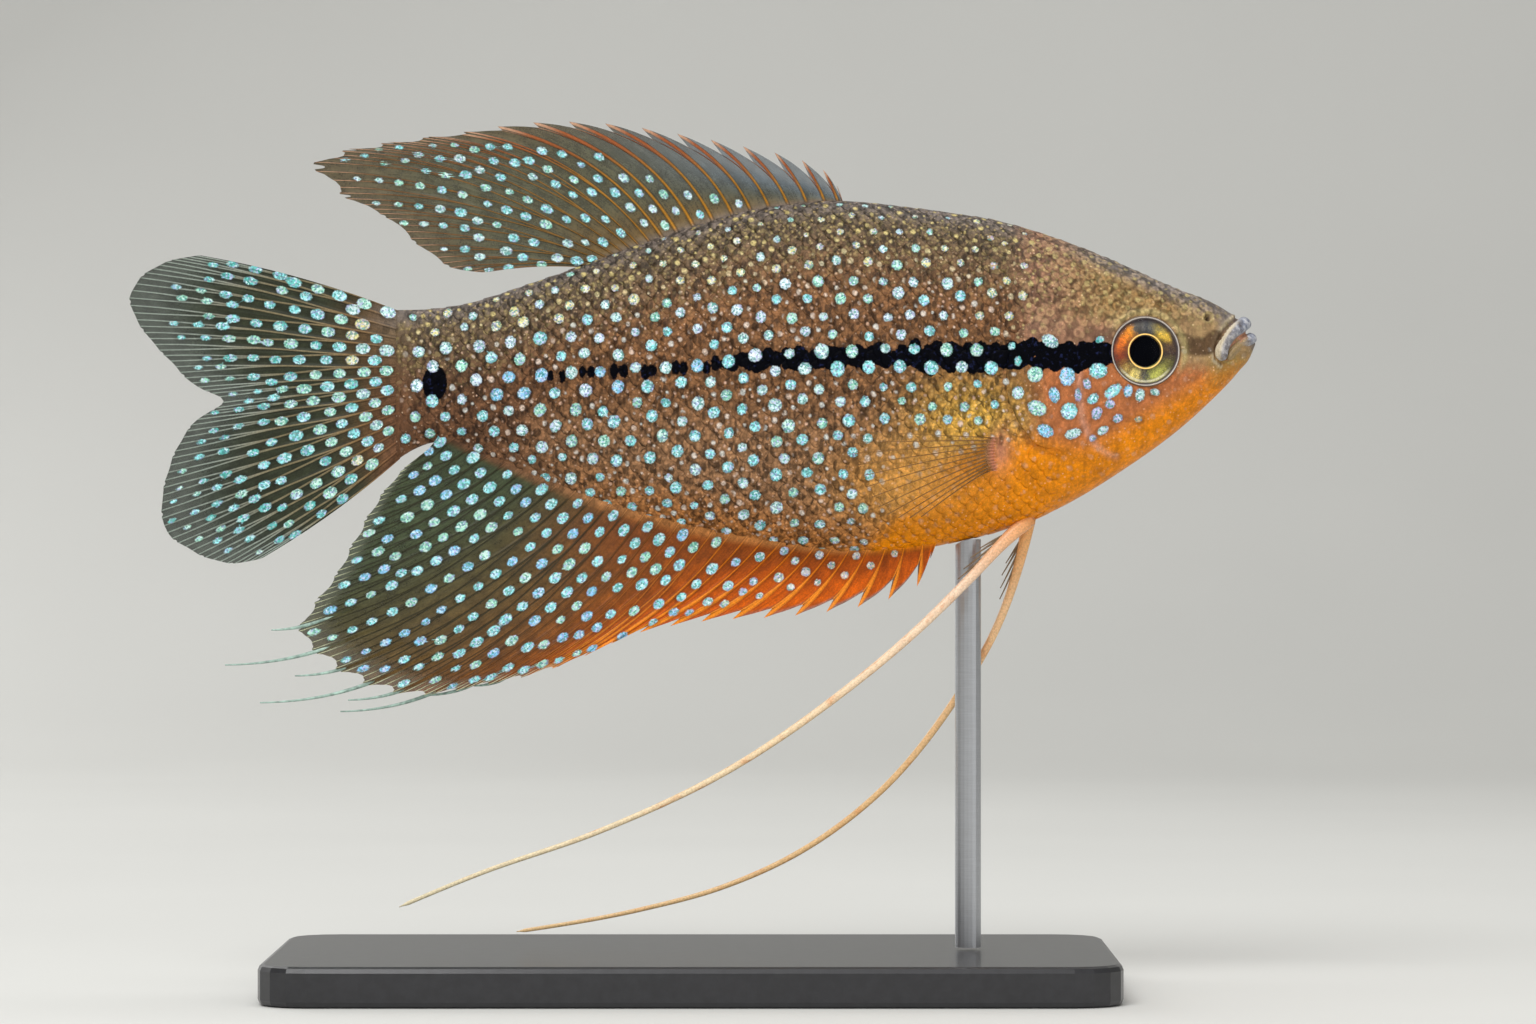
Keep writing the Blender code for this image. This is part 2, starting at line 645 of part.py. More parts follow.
def make_tail_fin(look):
    top, bottom = size_at(BACK_LINE, TAIL_END), size_at(BELLY_LINE, TAIL_END)

    def root(fractions):
        z = top + (bottom - top) * fractions
        return np.stack([np.full(len(z), TAIL_END - GAP), z], axis=1)

    def edge(fractions):
        return along(TAIL_EDGE, fractions)

    def thickness(fraction, rows):
        middle = math.sqrt(max(1 - (2 * fraction - 1) ** 2, 0.0))
        root_half = 0.35 + 1.25 * middle
        return 0.25 + (root_half - 0.25) * (1 - rows) ** 5

    def sway(x, reach):
        return 0.0022 * reach**2

    upright_fin(
        "tail_fin", root, edge, TAIL_RAYS, TAIL_ROWS, lambda f: 0.05 * (2 * f - 1), thickness,
        notched(*TAIL_DIPS), [SMALL_POINT] * TAIL_RAYS, sway, look,
    )


def make_pectoral_fins(look):
    places = ray_columns(PECTORAL_RAYS, 0.25)
    fractions = places / (PECTORAL_RAYS - 1)
    is_ray = np.abs(places - np.round(places)) < 1e-6
    rows = np.array(PECTORAL_ROWS)
    roots = along(PECTORAL_ROOT, fractions)
    ends = along(PECTORAL_EDGE, fractions)
    for side, word in ((RIGHT, "right"), (LEFT, "left")):
        columns, halves, normals = [], [], []
        for k in range(len(places)):
            length = 1.0 if is_ray[k] else 0.97
            surface = float(flank(roots[k, :1], roots[k, 1:])[0])
            start = np.array([roots[k, 0], side * (surface + GAP), roots[k, 1]])
            end_xz = roots[k] + (ends[k] - roots[k]) * length
            end = np.array([end_xz[0], side * (surface + PECTORAL_FLARE), end_xz[1]])
            bend = start + np.array([-0.6, side * 1.5, 0.0])
            up = rows[:, None]
            line = (1 - up) ** 2 * start + 2 * up * (1 - up) * bend + up**2 * end
            ahead = 2 * (1 - up) * (bend - start) + 2 * up * (end - bend)
            flat = ahead * (1.0, 1.0, 0.0)
            flat = flat / np.linalg.norm(flat, axis=1)[:, None]
            normals.append(np.stack([-flat[:, 1], flat[:, 0], flat[:, 2]], axis=1))
            columns.append(line)
            half = 0.25 + 0.3 * (1 - rows) ** 4
            halves.append(half + (0.1 if is_ray[k] else 0.0))
        fin_solid("pectoral_fin_" + word, columns, halves, normals, {}, look)


def small_rays(thread, whole, run, first):
    """Fuse the short rays behind a pelvic fin's thread to its root piece."""
    for number, (share, aside) in enumerate(SMALL_RAYS):
        at = first * np.linspace(0.12 + 0.04 * number, share, 5)
        path = np.stack([np.interp(at, run, whole[:, axis]) for axis in range(3)], axis=1)
        ahead = np.gradient(path, axis=0)
        ahead = ahead / np.linalg.norm(ahead, axis=1)[:, None]
        off = aside * np.linspace(0.0, 1.0, 5)
        path[:, 0] += ahead[:, 2] * off
        path[:, 2] -= ahead[:, 0] * off
        radii = np.linspace(*SMALL_RAY_RADII, 5)
        rings = tube_rings(path, radii, 5, (0.0, 1.0, 0.0))
        ray = rings_to_solid(thread.name + "_ray_" + str(number), rings)
        shape_with(thread, ray, "UNION")


def make_pelvic_fins(look):
    for side, word in ((RIGHT, "right"), (LEFT, "left")):
        points = np.array(PELVIC_THREADS[word]) * (1.0, side, 1.0)
        whole = along(points, np.linspace(0.0, 1.0, 201))
        steps = np.linalg.norm(np.diff(whole, axis=0), axis=1)
        run = np.concatenate([[0.0], np.cumsum(steps)])
        total = run[-1]
        thick, thin = THREAD_RADII[word]
        first = ROOT_SHARE * total
        bounds = np.concatenate([[0.0], np.linspace(first, total, THREAD_LENGTHS + 1)])
        for k in range(len(bounds) - 1):
            low = bounds[k] + (GAP / 2 if k else 0.0)
            high = bounds[k + 1] - (GAP / 2 if k < THREAD_LENGTHS else 0.0)
            count = max(5, int((high - low) / 2.6))
            at = np.linspace(low, high, count)
            path = np.stack([np.interp(at, run, whole[:, axis]) for axis in range(3)], axis=1)
            radii = thick + (thin - thick) * (at / total) ** 0.8
            radii = radii + ROOT_FLARE * np.clip(1 - at / first, 0.0, 1.0) ** 2
            if k == THREAD_LENGTHS:
                radii[-1] = THREAD_TIP_RADIUS
            rings = tube_rings(path, radii, 6, (0.0, 1.0, 0.0))
            if k:
                rings_to_solid("pelvic_thread_" + word + "_" + str(k), rings, look)
                continue
            rings[0][:, 2] = underside(rings[0][:, 0], rings[0][:, 1]) - GAP
            root_piece = rings_to_solid("pelvic_fin_" + word, rings, look)
            small_rays(root_piece, whole, run, first)
            apply_shaping(root_piece)
    remove_cutters()


def make_stand(base_look, rod_look):
    half_x, half_y = BASE_LENGTH / 2, BASE_WIDTH / 2
    outline = []
    for corner_x, corner_y, start in ((1, 1, 0), (-1, 1, 90), (-1, -1, 180), (1, -1, 270)):
        for step in range(5):
            turn = math.radians(start + 22.5 * step)
            x = corner_x * (half_x - BASE_CORNER) + BASE_CORNER * math.cos(turn)
            y = corner_y * (half_y - BASE_CORNER) + BASE_CORNER * math.sin(turn)
            outline.append((x, y))
    low = [(x, y, 0.0) for x, y in outline]
    high = [(x, y, BASE_HEIGHT) for x, y in outline]
    base = rings_to_solid("stand_base", (low, high), base_look)
    bevel = base.modifiers.new("edge_round", "BEVEL")
    bevel.width = 0.6 * MM
    bevel.segments = 2
    bevel.limit_method = "ANGLE"
    bevel.angle_limit = math.radians(60)
    turn = np.arange(20) * 2 * math.pi / 20
    x, y = ROD_X + ROD_RADIUS * np.cos(turn), ROD_RADIUS * np.sin(turn)
    foot = np.stack([x, y, np.full(20, BASE_HEIGHT + GAP)], axis=1)
    head = np.stack([x, y, underside(x, y) - GAP], axis=1)
    rings_to_solid("stand_rod", (foot, head), rod_look)


def main():
    clear_scene()
    skin = material("skin", (0.42, 0.3, 0.2), 0.4)
    gill_skin = material("gill_skin", (0.62, 0.36, 0.14), 0.35)
    lip = material("lip", (0.3, 0.36, 0.42), 0.4)
    fin = material("fin", (0.4, 0.33, 0.24), 0.35)
    thread = material("thread", (0.85, 0.55, 0.3), 0.4)
    eye = material("eye", (0.5, 0.26, 0.08), 0.1)
    base = material("stand_base", (0.12, 0.12, 0.13), 0.5)
    rod = material("stand_rod", (0.7, 0.7, 0.72), 0.3, 1.0)
    head, *covers = make_head(skin, gill_skin)
    make_eyes(head, eye)
    make_nostrils(head)
    make_lips(head, lip)
    trunk = make_trunk(skin)
    for shaped in (head, *covers, trunk):
        apply_shaping(shaped)
    remove_cutters()
    make_tail_stalk(skin)
    make_dorsal_fin(fin)
    make_anal_fin(fin)
    make_tail_fin(fin)
    make_pectoral_fins(fin)
    make_pelvic_fins(thread)
    make_stand(base, rod)


main()
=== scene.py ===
"""The looks of the pearl gourami model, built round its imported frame.

One skin covers the flesh, with scales over it as thin plates, and the fins, lips, eyes and threads
are finer pieces that take the places of their plain solids. Sizes are in millimetres unless a line
says otherwise. The fish faces +X, and its right side faces -Y and the camera.
"""

import math

import bpy
import numpy as np
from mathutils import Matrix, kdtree


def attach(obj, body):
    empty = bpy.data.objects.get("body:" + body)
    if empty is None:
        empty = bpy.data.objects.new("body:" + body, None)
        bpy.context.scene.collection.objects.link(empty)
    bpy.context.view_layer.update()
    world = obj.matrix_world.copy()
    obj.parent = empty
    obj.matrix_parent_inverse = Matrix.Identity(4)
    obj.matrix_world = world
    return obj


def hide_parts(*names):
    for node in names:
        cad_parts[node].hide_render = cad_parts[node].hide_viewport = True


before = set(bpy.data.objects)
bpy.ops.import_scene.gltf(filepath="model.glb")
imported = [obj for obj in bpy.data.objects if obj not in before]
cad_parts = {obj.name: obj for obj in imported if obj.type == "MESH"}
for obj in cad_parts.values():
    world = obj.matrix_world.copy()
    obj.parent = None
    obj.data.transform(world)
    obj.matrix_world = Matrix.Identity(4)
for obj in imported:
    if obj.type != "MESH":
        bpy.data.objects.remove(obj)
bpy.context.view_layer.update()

MM = 0.001
RIGHT, LEFT = -1, 1
SIDES = ((RIGHT, "right"), (LEFT, "left"))
# The way across the body, from its right side to its left.
ACROSS = (0.0, 1.0, 0.0)

# The body's form, as the solids have it: (x, value) pairs.
BACK_LINE = (
    (-29.6, 68.0), (-25.0, 68.2), (-14.3, 71.3), (-3.3, 75.3), (5.7, 78.0), (14.2, 78.9),
    (22.7, 78.1), (31.7, 76.6), (39.7, 73.9), (47.7, 70.4), (53.2, 68.0), (54.6, 67.0),
    (55.6, 65.8), (56.2, 64.7),
)
BELLY_LINE = (
    (-29.6, 53.0), (-27.6, 54.2), (-25.6, 54.8), (-21.3, 53.0), (-13.3, 49.5), (-4.3, 46.5),
    (6.7, 44.2), (15.7, 43.4), (24.7, 44.5), (30.7, 45.9), (34.7, 47.3), (42.7, 51.8),
    (50.7, 57.9), (54.6, 61.9), (55.7, 63.3), (56.2, 64.5),
)
HALF_WIDTH = (
    (-29.6, 1.75), (-22.0, 2.7), (-14.0, 3.7), (-4.0, 4.8), (8.0, 5.85), (18.0, 6.35),
    (27.0, 6.45), (34.0, 6.2), (38.7, 5.7), (43.0, 5.05), (47.0, 4.3), (50.0, 3.6),
    (52.5, 2.85), (54.2, 2.2), (55.4, 1.4), (56.2, 0.3),
)
WIDEST_LEVEL = (
    (-29.6, 60.6), (-10.0, 61.2), (5.0, 60.4), (18.0, 59.8), (30.0, 60.2), (38.0, 61.2),
    (45.0, 62.6), (52.0, 64.0), (56.2, 64.6),
)
CLOSING_ABOVE = ((-29.6, 1.0), (-10.0, 1.15), (12.0, 1.15), (25.0, 1.05), (38.0, 0.95), (56.2, 0.85))
CLOSING_BELOW = (
    (-29.6, 1.0), (-20.0, 1.25), (0.0, 1.3), (15.0, 1.2), (26.0, 1.0), (34.0, 0.87),
    (44.0, 0.87), (56.2, 0.85),
)
TAIL_END, SNOUT_END = -29.6, 56.2

# Features of the head: (x, z) points on its side.
GILL_EDGE_X = 33.0
# The gill cover's free edge: (z, x).
GILL_EDGE = (
    (52.0, 36.4), (53.0, 36.4), (53.9, 34.6), (55.7, 33.0), (57.6, 31.9), (59.6, 31.2),
    (61.6, 31.1), (63.8, 31.4), (65.7, 32.3), (66.9, 33.6), (69.0, 33.6),
)
GILL_LIFT = 0.42
GILL_SEAM = ((34.4, 54.0), (36.9, 53.0), (39.2, 52.6), (42.0, 50.7))
PREOPERCLE = ((38.3, 63.0), (38.4, 59.7), (38.8, 56.5), (39.6, 55.0), (40.7, 53.9), (42.2, 53.2))
PECTORAL_PAD = (30.5, 54.0)
PAD_FOLD = ((31.2, 56.9), (30.7, 55.6), (30.5, 54.5))
THROAT_FOLDS = (
    ((41.0, 52.9), (44.0, 53.6), (47.5, 56.2)),
    ((40.0, 51.7), (43.6, 52.6), (46.6, 54.8)),
)
JAW_FOLD = ((54.3, 67.15), (53.1, 66.1), (52.35, 65.05), (52.0, 64.0), (52.05, 63.1), (52.7, 62.5))
CHEEK_FOLD = ((48.9, 66.2), (50.9, 65.2), (51.9, 63.9), (51.6, 62.2), (49.5, 60.4))
NOSTRIL = (51.3, 67.15)
REAR_NOSTRIL = (48.9, 66.9)
EYE = (44.95, 63.75)

# The stripe: its middle (x, z) and half its height (x, value).
STRIPE_LINE = (
    (-25.7, 60.6), (-13.3, 61.5), (-5.3, 62.0), (2.7, 62.4), (6.7, 62.75), (15.7, 63.1),
    (25.7, 63.15), (41.7, 63.4), (56.2, 64.4),
)
STRIPE_HALF = (
    (-29.6, -1.5), (-16.5, -0.6), (-14.0, 0.4), (-9.3, 0.66), (-5.3, 0.88), (-1.3, 0.96), (2.7, 1.08),
    (10.7, 1.16), (20.7, 1.4), (30.7, 1.65), (36.7, 1.5), (41.7, 1.3), (44.5, 1.0), (47.0, -1.5),
    (56.2, -1.5),
)
# The dark spot before the tail: x, half length and half height.
TAIL_SPOT = (-25.7, 1.25, 1.75)
# The stripe is single blots from STRIPE_REAR on, and whole from STRIPE_SOLID to STRIPE_FRONT.
STRIPE_REAR, STRIPE_SOLID, STRIPE_FRONT = -15.0, 3.4, 48.0

# The lattice that scales and pearls share, in flank millimetres.
SCALE_PITCH, SCALE_ROW = 1.55, 0.875
LATTICE_ORIGIN = (-7.4, -1.05)
# The rows of pearls that run along the stripe.
STRIPE_ROWS = (0, 1)
# The cheek's and gill cover's pearls: (x, z, half length, half height, tilt in degrees, colour name).
CHEEK_PEARLS = (
    (31.6, 64.2, 0.35, 0.4, 0, "cyan"), (32.2, 62.7, 0.38, 0.5, 0, "teal"),
    (35.4, 64.7, 0.92, 0.6, -30, "pale"), (40.4, 64.9, 0.45, 0.34, 20, "teal"),
    (33.9, 61.4, 0.8, 0.78, 0, "mint"), (37.1, 61.2, 0.8, 0.93, 0, "blue"),
    (40.2, 61.8, 0.92, 0.78, 0, "cyan"), (35.8, 59.4, 0.55, 0.8, 15, "blue"),
    (38.2, 59.4, 0.38, 0.68, 8, "lilac"), (39.1, 60.5, 0.4, 0.6, 15, "lilac"),
    (32.2, 59.6, 0.6, 0.64, 0, "pale"), (34.1, 58.1, 0.98, 0.72, -25, "mint"),
    (37.3, 57.8, 0.85, 0.85, 0, "cyan"), (39.7, 59.0, 0.66, 0.5, 35, "cyan"),
    (40.1, 57.6, 0.55, 0.66, -10, "lilac"), (41.7, 59.8, 0.98, 0.56, 35, "cyan"),
    (43.2, 59.8, 0.45, 0.66, 0, "blue"), (41.4, 58.5, 0.52, 0.46, -20, "lilac"),
    (44.4, 59.4, 0.5, 0.66, 0, "pale"), (45.9, 59.7, 0.55, 0.36, -25, "pale"),
    (34.9, 55.9, 0.85, 0.62, -25, "blue"), (37.7, 55.6, 0.85, 0.52, 15, "pale"),
    (40.7, 55.9, 0.62, 0.42, 30, "pale"), (42.2, 57.1, 0.55, 0.44, 15, "lilac"),
    (39.7, 55.1, 0.36, 0.4, 0, "lilac"), (44.3, 57.0, 0.42, 0.36, 0, "tan"),
)

# Fins: free edges and bases, as the solids have them.
DORSAL_EDGE = (
    (14.5, 80.2), (13.4, 81.6), (11.2, 82.7), (5.6, 84.1), (-0.9, 85.4), (-8.2, 86.5),
    (-15.0, 86.7), (-22.8, 85.8), (-30.3, 84.7), (-34.6, 83.8), (-36.9, 82.7), (-36.2, 81.2),
    (-34.2, 79.4), (-30.3, 77.1), (-26.5, 73.8), (-23.6, 72.1), (-20.5, 71.8),
)
DORSAL_BASE = (15.2, -9.3)
# Where the rays stand along the fin's base and along its edge: (share of the rays, share of the way).
DORSAL_SPREAD = (
    (0.0, 0.0), (0.048, 0.02), (0.143, 0.147), (0.238, 0.298), (0.333, 0.445), (0.43, 0.604),
    (0.524, 0.727), (0.75, 0.9), (1.0, 1.0),
)
DORSAL_TIPS = (
    (0.0, 0.0), (0.05, 0.03), (0.1, 0.063), (0.2, 0.15), (0.3, 0.246), (0.4, 0.35), (0.5, 0.452),
    (0.65, 0.605), (0.76, 0.725), (1.0, 1.0),
)
DORSAL_RAYS = 22
DORSAL_POINT = 0.3
DORSAL_FREE_RAYS = {13: 0.8, 14: 1.4, 15: 1.6, 16: 1.7, 17: 1.2}
# How deep the membrane dips behind each ray's point, as a share of the ray: (share of the fin, dip).
DORSAL_DIPS = (
    (0.0, 0.42), (0.095, 0.36), (0.19, 0.25), (0.286, 0.17), (0.38, 0.09), (0.476, 0.045), (0.6, 0.02),
    (1.0, 0.02),
)
# How far out the spots stand on each ray: (share of the fin, share of the ray).
DORSAL_SPOT_LIMIT = ((0.0, 0.1), (0.2, 0.16), (0.35, 0.32), (0.5, 0.66), (0.62, 0.92), (1.0, 1.0))
ANAL_DIPS = ((0.0, 0.5), (0.035, 0.45), (0.1, 0.24), (0.17, 0.15), (0.3, 0.09), (0.42, 0.04), (1.0, 0.035))
TAIL_DIPS = ((0.0, 0.0), (1.0, 0.0))
ANAL_EDGE = (
    (23.9, 43.6), (22.7, 41.0), (20.0, 39.6), (14.0, 38.2), (7.9, 37.5), (2.8, 37.2),
    (-2.8, 36.4), (-6.0, 35.6), (-9.1, 34.2), (-13.3, 32.4), (-20.9, 30.6), (-27.4, 29.9),
    (-32.4, 31.2), (-36.4, 33.5), (-38.9, 36.0), (-37.6, 38.6), (-35.6, 41.5), (-33.9, 44.7),
    (-30.8, 49.9), (-28.0, 52.9), (-26.4, 54.0),
)
ANAL_BASE = (24.6, -25.0)
ANAL_RAYS = 30
ANAL_SPINES = 12
ANAL_SPINE_POINT = 0.5
ANAL_FREE_RAYS = {
    13: 0.7, 14: 0.8, 15: 1.0, 16: 1.2, 17: 1.3, 18: 1.3, 19: 1.3, 20: 1.2, 21: 1.0, 22: 0.8, 23: 0.6,
}
# The long free rays: (ray, length).
FILAMENTS = {15: 3.0, 16: 5.0, 17: 10.5, 18: 6.5, 19: 12.5, 20: 6.0, 21: 10.5, 22: 4.0}
ANAL_SPOT_LIMIT = ((0.0, 0.4), (0.15, 0.62), (0.3, 0.86), (0.45, 0.97), (1.0, 0.97))
TAIL_EDGE = (
    (-49.3, 73.5), (-53.3, 72.6), (-55.4, 71.2), (-56.4, 69.4), (-55.9, 67.4), (-54.5, 65.3),
    (-52.2, 62.8), (-50.0, 60.6), (-47.0, 58.9), (-49.8, 56.9), (-51.6, 54.3), (-52.7, 51.4),
    (-53.2, 48.0), (-52.8, 46.0), (-50.6, 44.2), (-46.0, 42.7), (-43.1, 43.2),
)
TAIL_RAYS = 17
TAIL_SPOT_LIMIT = ((0.0, 0.85), (0.2, 0.87), (0.4, 0.97), (0.6, 0.97), (1.0, 0.98))
SMALL_POINT = 0.35
TAIL_POINT = 0.16
TRAILING_WAY = (-1.0, -0.02)
PECTORAL_ROOT = ((29.3, 55.2), (29.3, 51.9))
PECTORAL_EDGE = ((16.6, 55.7), (15.9, 54.0), (16.5, 51.9), (17.5, 49.5), (19.0, 47.6), (22.6, 47.3))
PECTORAL_FLARE = 4.2
PECTORAL_RAYS = 12
PECTORAL_ROWS = 40
PECTORAL_CLEAR = 0.965
PECTORAL_RAY_HALF = 0.07
PELVIC_THREADS = {
    "right": (
        (33.0, 1.5, 46.6), (31.4, 1.9, 45.2), (27.7, 2.5, 41.3), (22.5, 3.1, 36.2), (14.7, 3.6, 29.7),
        (2.8, 4.0, 21.7), (-9.2, 3.8, 16.1), (-21.3, 3.4, 11.8), (-29.2, 3.0, 8.5),
    ),
    "left": (
        (33.6, 1.5, 46.8), (33.1, 1.9, 44.3), (31.1, 2.4, 37.7), (26.2, 2.9, 28.8), (18.8, 3.4, 19.7),
        (10.7, 3.8, 13.6), (2.8, 4.0, 10.0), (-5.3, 3.9, 7.8), (-17.8, 3.4, 5.6),
    ),
}
THREAD_RADII = {"right": (0.56, 0.2), "left": (0.5, 0.19)}
# The photograph shows the left ray a warmer gold than the right one.
THREAD_WARMTH = {"right": 0.0, "left": 0.55}
# The short side rays at a pelvic ray's root: (how far along the root they end, how far aside).
SIDE_RAYS = ((0.5, 1.3), (0.64, 1.35), (0.78, 1.1), (0.9, 0.8))
# The root's share of the whole ray.
ROOT_SHARE = 0.13

# Lips: (x, y, z) from the front of the mouth to its corner, on the left side.
UPPER_LIP = (
    (55.2, 0.0, 66.7), (54.65, 1.15, 66.3), (53.6, 2.05, 65.5), (52.9, 2.52, 64.5),
    (52.65, 2.76, 63.6), (52.95, 2.66, 62.95),
)
LOWER_LIP = (
    (55.85, 0.0, 65.2), (55.35, 0.95, 64.85), (54.45, 1.7, 64.35), (53.7, 2.12, 63.65),
    (53.25, 2.35, 63.0),
)
MOUTH_SLIT = ((55.8, 66.0), (54.7, 65.2), (53.7, 64.2), (53.3, 63.2))
MAXILLA = ((54.0, 67.35), (52.85, 66.35), (52.1, 65.2), (51.75, 64.1), (51.85, 62.95), (52.55, 62.25))

# How the eye's axis is turned from the cheek's own normal.
EYE_TURN = (0.8, 1.0, 0.6)
# The parts of the eye about its axis: (radius, height) from the rim to the middle.
EYE_RIM = (
    (3.6, -0.75), (3.57, -0.3), (3.53, -0.08), (3.48, 0.04), (3.42, 0.08), (3.34, 0.05), (3.24, -0.04),
    (3.14, -0.24),
)
IRIS_EDGE = ((1.8, -0.02), (1.72, 0.0), (1.64, -0.01), (1.58, -0.08), (1.5, -0.34))
PUPIL = ((1.62, -0.26), (1.2, -0.22), (0.7, -0.19), (0.3, -0.18), (0.02, -0.18))


def srgb(red, green, blue):
    """A display colour from 0 to 255 as the linear values that the shaders use."""
    values = np.array([red, green, blue], float) / 255
    return np.where(values <= 0.04045, values / 12.92, ((values + 0.055) / 1.055) ** 2.4)


PEARL_COLOURS = {
    "cyan": srgb(148, 226, 230), "teal": srgb(110, 205, 200), "pale": srgb(192, 228, 226),
    "mint": srgb(165, 224, 200), "blue": srgb(140, 205, 242), "lilac": srgb(182, 186, 226),
    "gold": srgb(222, 214, 152), "tan": srgb(205, 175, 135), "white": srgb(206, 226, 236),
    "faint": srgb(200, 165, 130), "warm": srgb(216, 186, 160),
}


# Curves and the body's surface.


def slopes(places, values):
    """The slope of a smooth curve at each of its points."""
    steps = np.diff(places)
    rises = np.diff(values, axis=0) / steps.reshape(-1, *[1] * (values.ndim - 1))
    if len(places) == 2:
        return np.stack([rises[0], rises[0]])
    before, after = steps[:-1], steps[1:]
    share = (after / (before + after)).reshape(-1, *[1] * (values.ndim - 1))
    inner = rises[:-1] * share + rises[1:] * (1 - share)
    return np.concatenate([[1.5 * rises[0] - 0.5 * inner[0]], inner, [1.5 * rises[-1] - 0.5 * inner[-1]]])


def smooth_through(places, values, at):
    """The value at each place in at, of a smooth curve through the values."""
    places = np.asarray(places, float)
    values = np.asarray(values, float)
    at = np.clip(np.asarray(at, float), places[0], places[-1])
    left = np.clip(np.searchsorted(places, at, side="right") - 1, 0, len(places) - 2)
    step = places[left + 1] - places[left]
    t = (at - places[left]) / step
    tangents = slopes(places, values)
    if values.ndim > 1:
        step = step[..., None]
        t = t[..., None]
    start = (2 * t**3 - 3 * t**2 + 1) * values[left] + (t**3 - 2 * t**2 + t) * step * tangents[left]
    end = (3 * t**2 - 2 * t**3) * values[left + 1] + (t**3 - t**2) * step * tangents[left + 1]
    return start + end


def size_at(table, x):
    """The value at x of a smooth curve through a table of (x, value) pairs."""
    points = np.asarray(table, float)
    return smooth_through(points[:, 0], points[:, 1], x)


def running_length(points):
    """The way along a line of points, up to each of them."""
    return np.concatenate([[0.0], np.cumsum(np.linalg.norm(np.diff(points, axis=0), axis=1))])


def unit(vectors):
    """The same vectors, each of length one."""
    return vectors / np.maximum(np.linalg.norm(vectors, axis=-1, keepdims=True), 1e-9)


def along(points, fractions):
    """Points at the given fractions of the length of a smooth curve through the points."""
    points = np.asarray(points, float)
    places = running_length(points)
    dense = smooth_through(places, points, np.linspace(0.0, places[-1], 40 * len(points)))
    run = running_length(dense)
    wanted = np.asarray(fractions, float) * run[-1]
    return np.stack([np.interp(wanted, run, column) for column in dense.T], axis=-1)


def soft_step(value, low, high):
    """0 below low, 1 above high, and smooth between."""
    t = np.clip((value - low) / (high - low), 0.0, 1.0)
    return t * t * (3 - 2 * t)


def bell(distance, width):
    """1 at no distance, and close to 0 beyond two widths."""
    return np.exp(-((distance / width) ** 2))


def body_yz(x, turn):
    """Half width and height of the body at x, turn radians above its widest level."""
    x, turn = np.broadcast_arrays(np.asarray(x, float), np.asarray(turn, float))
    level = size_at(WIDEST_LEVEL, x)
    above = turn > 0
    reach = np.where(above, size_at(BACK_LINE, x) - level, level - size_at(BELLY_LINE, x))
    closing = np.where(above, size_at(CLOSING_ABOVE, x), size_at(CLOSING_BELOW, x))
    y = size_at(HALF_WIDTH, x) * np.clip(np.cos(turn), 0.0, 1.0) ** closing
    return y, level + reach * np.sin(turn)


class Flank:
    """Turns flank coordinates, u = x and v = millimetres of girth above the stripe, into places."""

    STEP = 0.2
    REACH = (-28.0, 24.0)

    def __init__(self):
        self.x = np.arange(TAIL_END, SNOUT_END + self.STEP, self.STEP).clip(TAIL_END, SNOUT_END)
        self.turn = np.linspace(-math.pi / 2, math.pi / 2, 361)
        y, z = body_yz(self.x[:, None], self.turn[None, :])
        steps = np.hypot(np.diff(y, axis=1), np.diff(z, axis=1))
        self.arc = np.concatenate([np.zeros((len(self.x), 1)), np.cumsum(steps, axis=1)], axis=1)
        stripe_turn = self.turn_of_height(self.x, size_at(STRIPE_LINE, self.x))
        for row, turn in enumerate(stripe_turn):
            self.arc[row] -= np.interp(turn, self.turn, self.arc[row])
        self.v = np.linspace(*self.REACH, 521)
        self.turn_at = np.stack([np.interp(self.v, arc, self.turn) for arc in self.arc])
        self.low, self.high = self.arc[:, 0], self.arc[:, -1]

    def turn_of_height(self, x, z):
        level = size_at(WIDEST_LEVEL, x)
        reach = np.where(z > level, size_at(BACK_LINE, x) - level, level - size_at(BELLY_LINE, x))
        return np.arcsin(np.clip((z - level) / reach, -1.0, 1.0))

    def bilinear(self, grid, x, other, axis):
        i = np.clip((x - self.x[0]) / self.STEP, 0, len(self.x) - 1.001)
        j = np.clip((other - axis[0]) / (axis[1] - axis[0]), 0, len(axis) - 1.001)
        i0, j0 = i.astype(int), j.astype(int)
        fi, fj = i - i0, j - j0
        low = grid[i0, j0] * (1 - fj) + grid[i0, j0 + 1] * fj
        high = grid[i0 + 1, j0] * (1 - fj) + grid[i0 + 1, j0 + 1] * fj
        return low * (1 - fi) + high * fi

    def v_of(self, x, turn):
        return self.bilinear(self.arc, np.asarray(x, float), np.asarray(turn, float), self.turn)

    def v_of_height(self, x, z):
        x, z = np.asarray(x, float), np.asarray(z, float)
        return self.v_of(x, self.turn_of_height(x, z))

    def turn_of(self, u, v):
        return self.bilinear(self.turn_at, u, v, self.v)

    def place(self, u, v, side):
        """Points of the surface and its outward normals there."""
        u, v = np.asarray(u, float), np.asarray(v, float)
        near = 0.15

        def at(u, v):
            y, z = body_yz(u, self.turn_of(u, v))
            return np.stack([u, side * y, z], axis=-1)

        normal = np.cross(at(u + near, v) - at(u - near, v), at(u, v + near) - at(u, v - near)) * -side
        return at(u, v), unit(normal)

    def extent(self, u):
        """The lowest and highest v at u."""
        return np.interp(u, self.x, self.low), np.interp(u, self.x, self.high)


FLANK = Flank()


def point_distance(x, z, point):
    """Distance from a point on the side of the head."""
    return np.hypot(x - point[0], z - point[1])


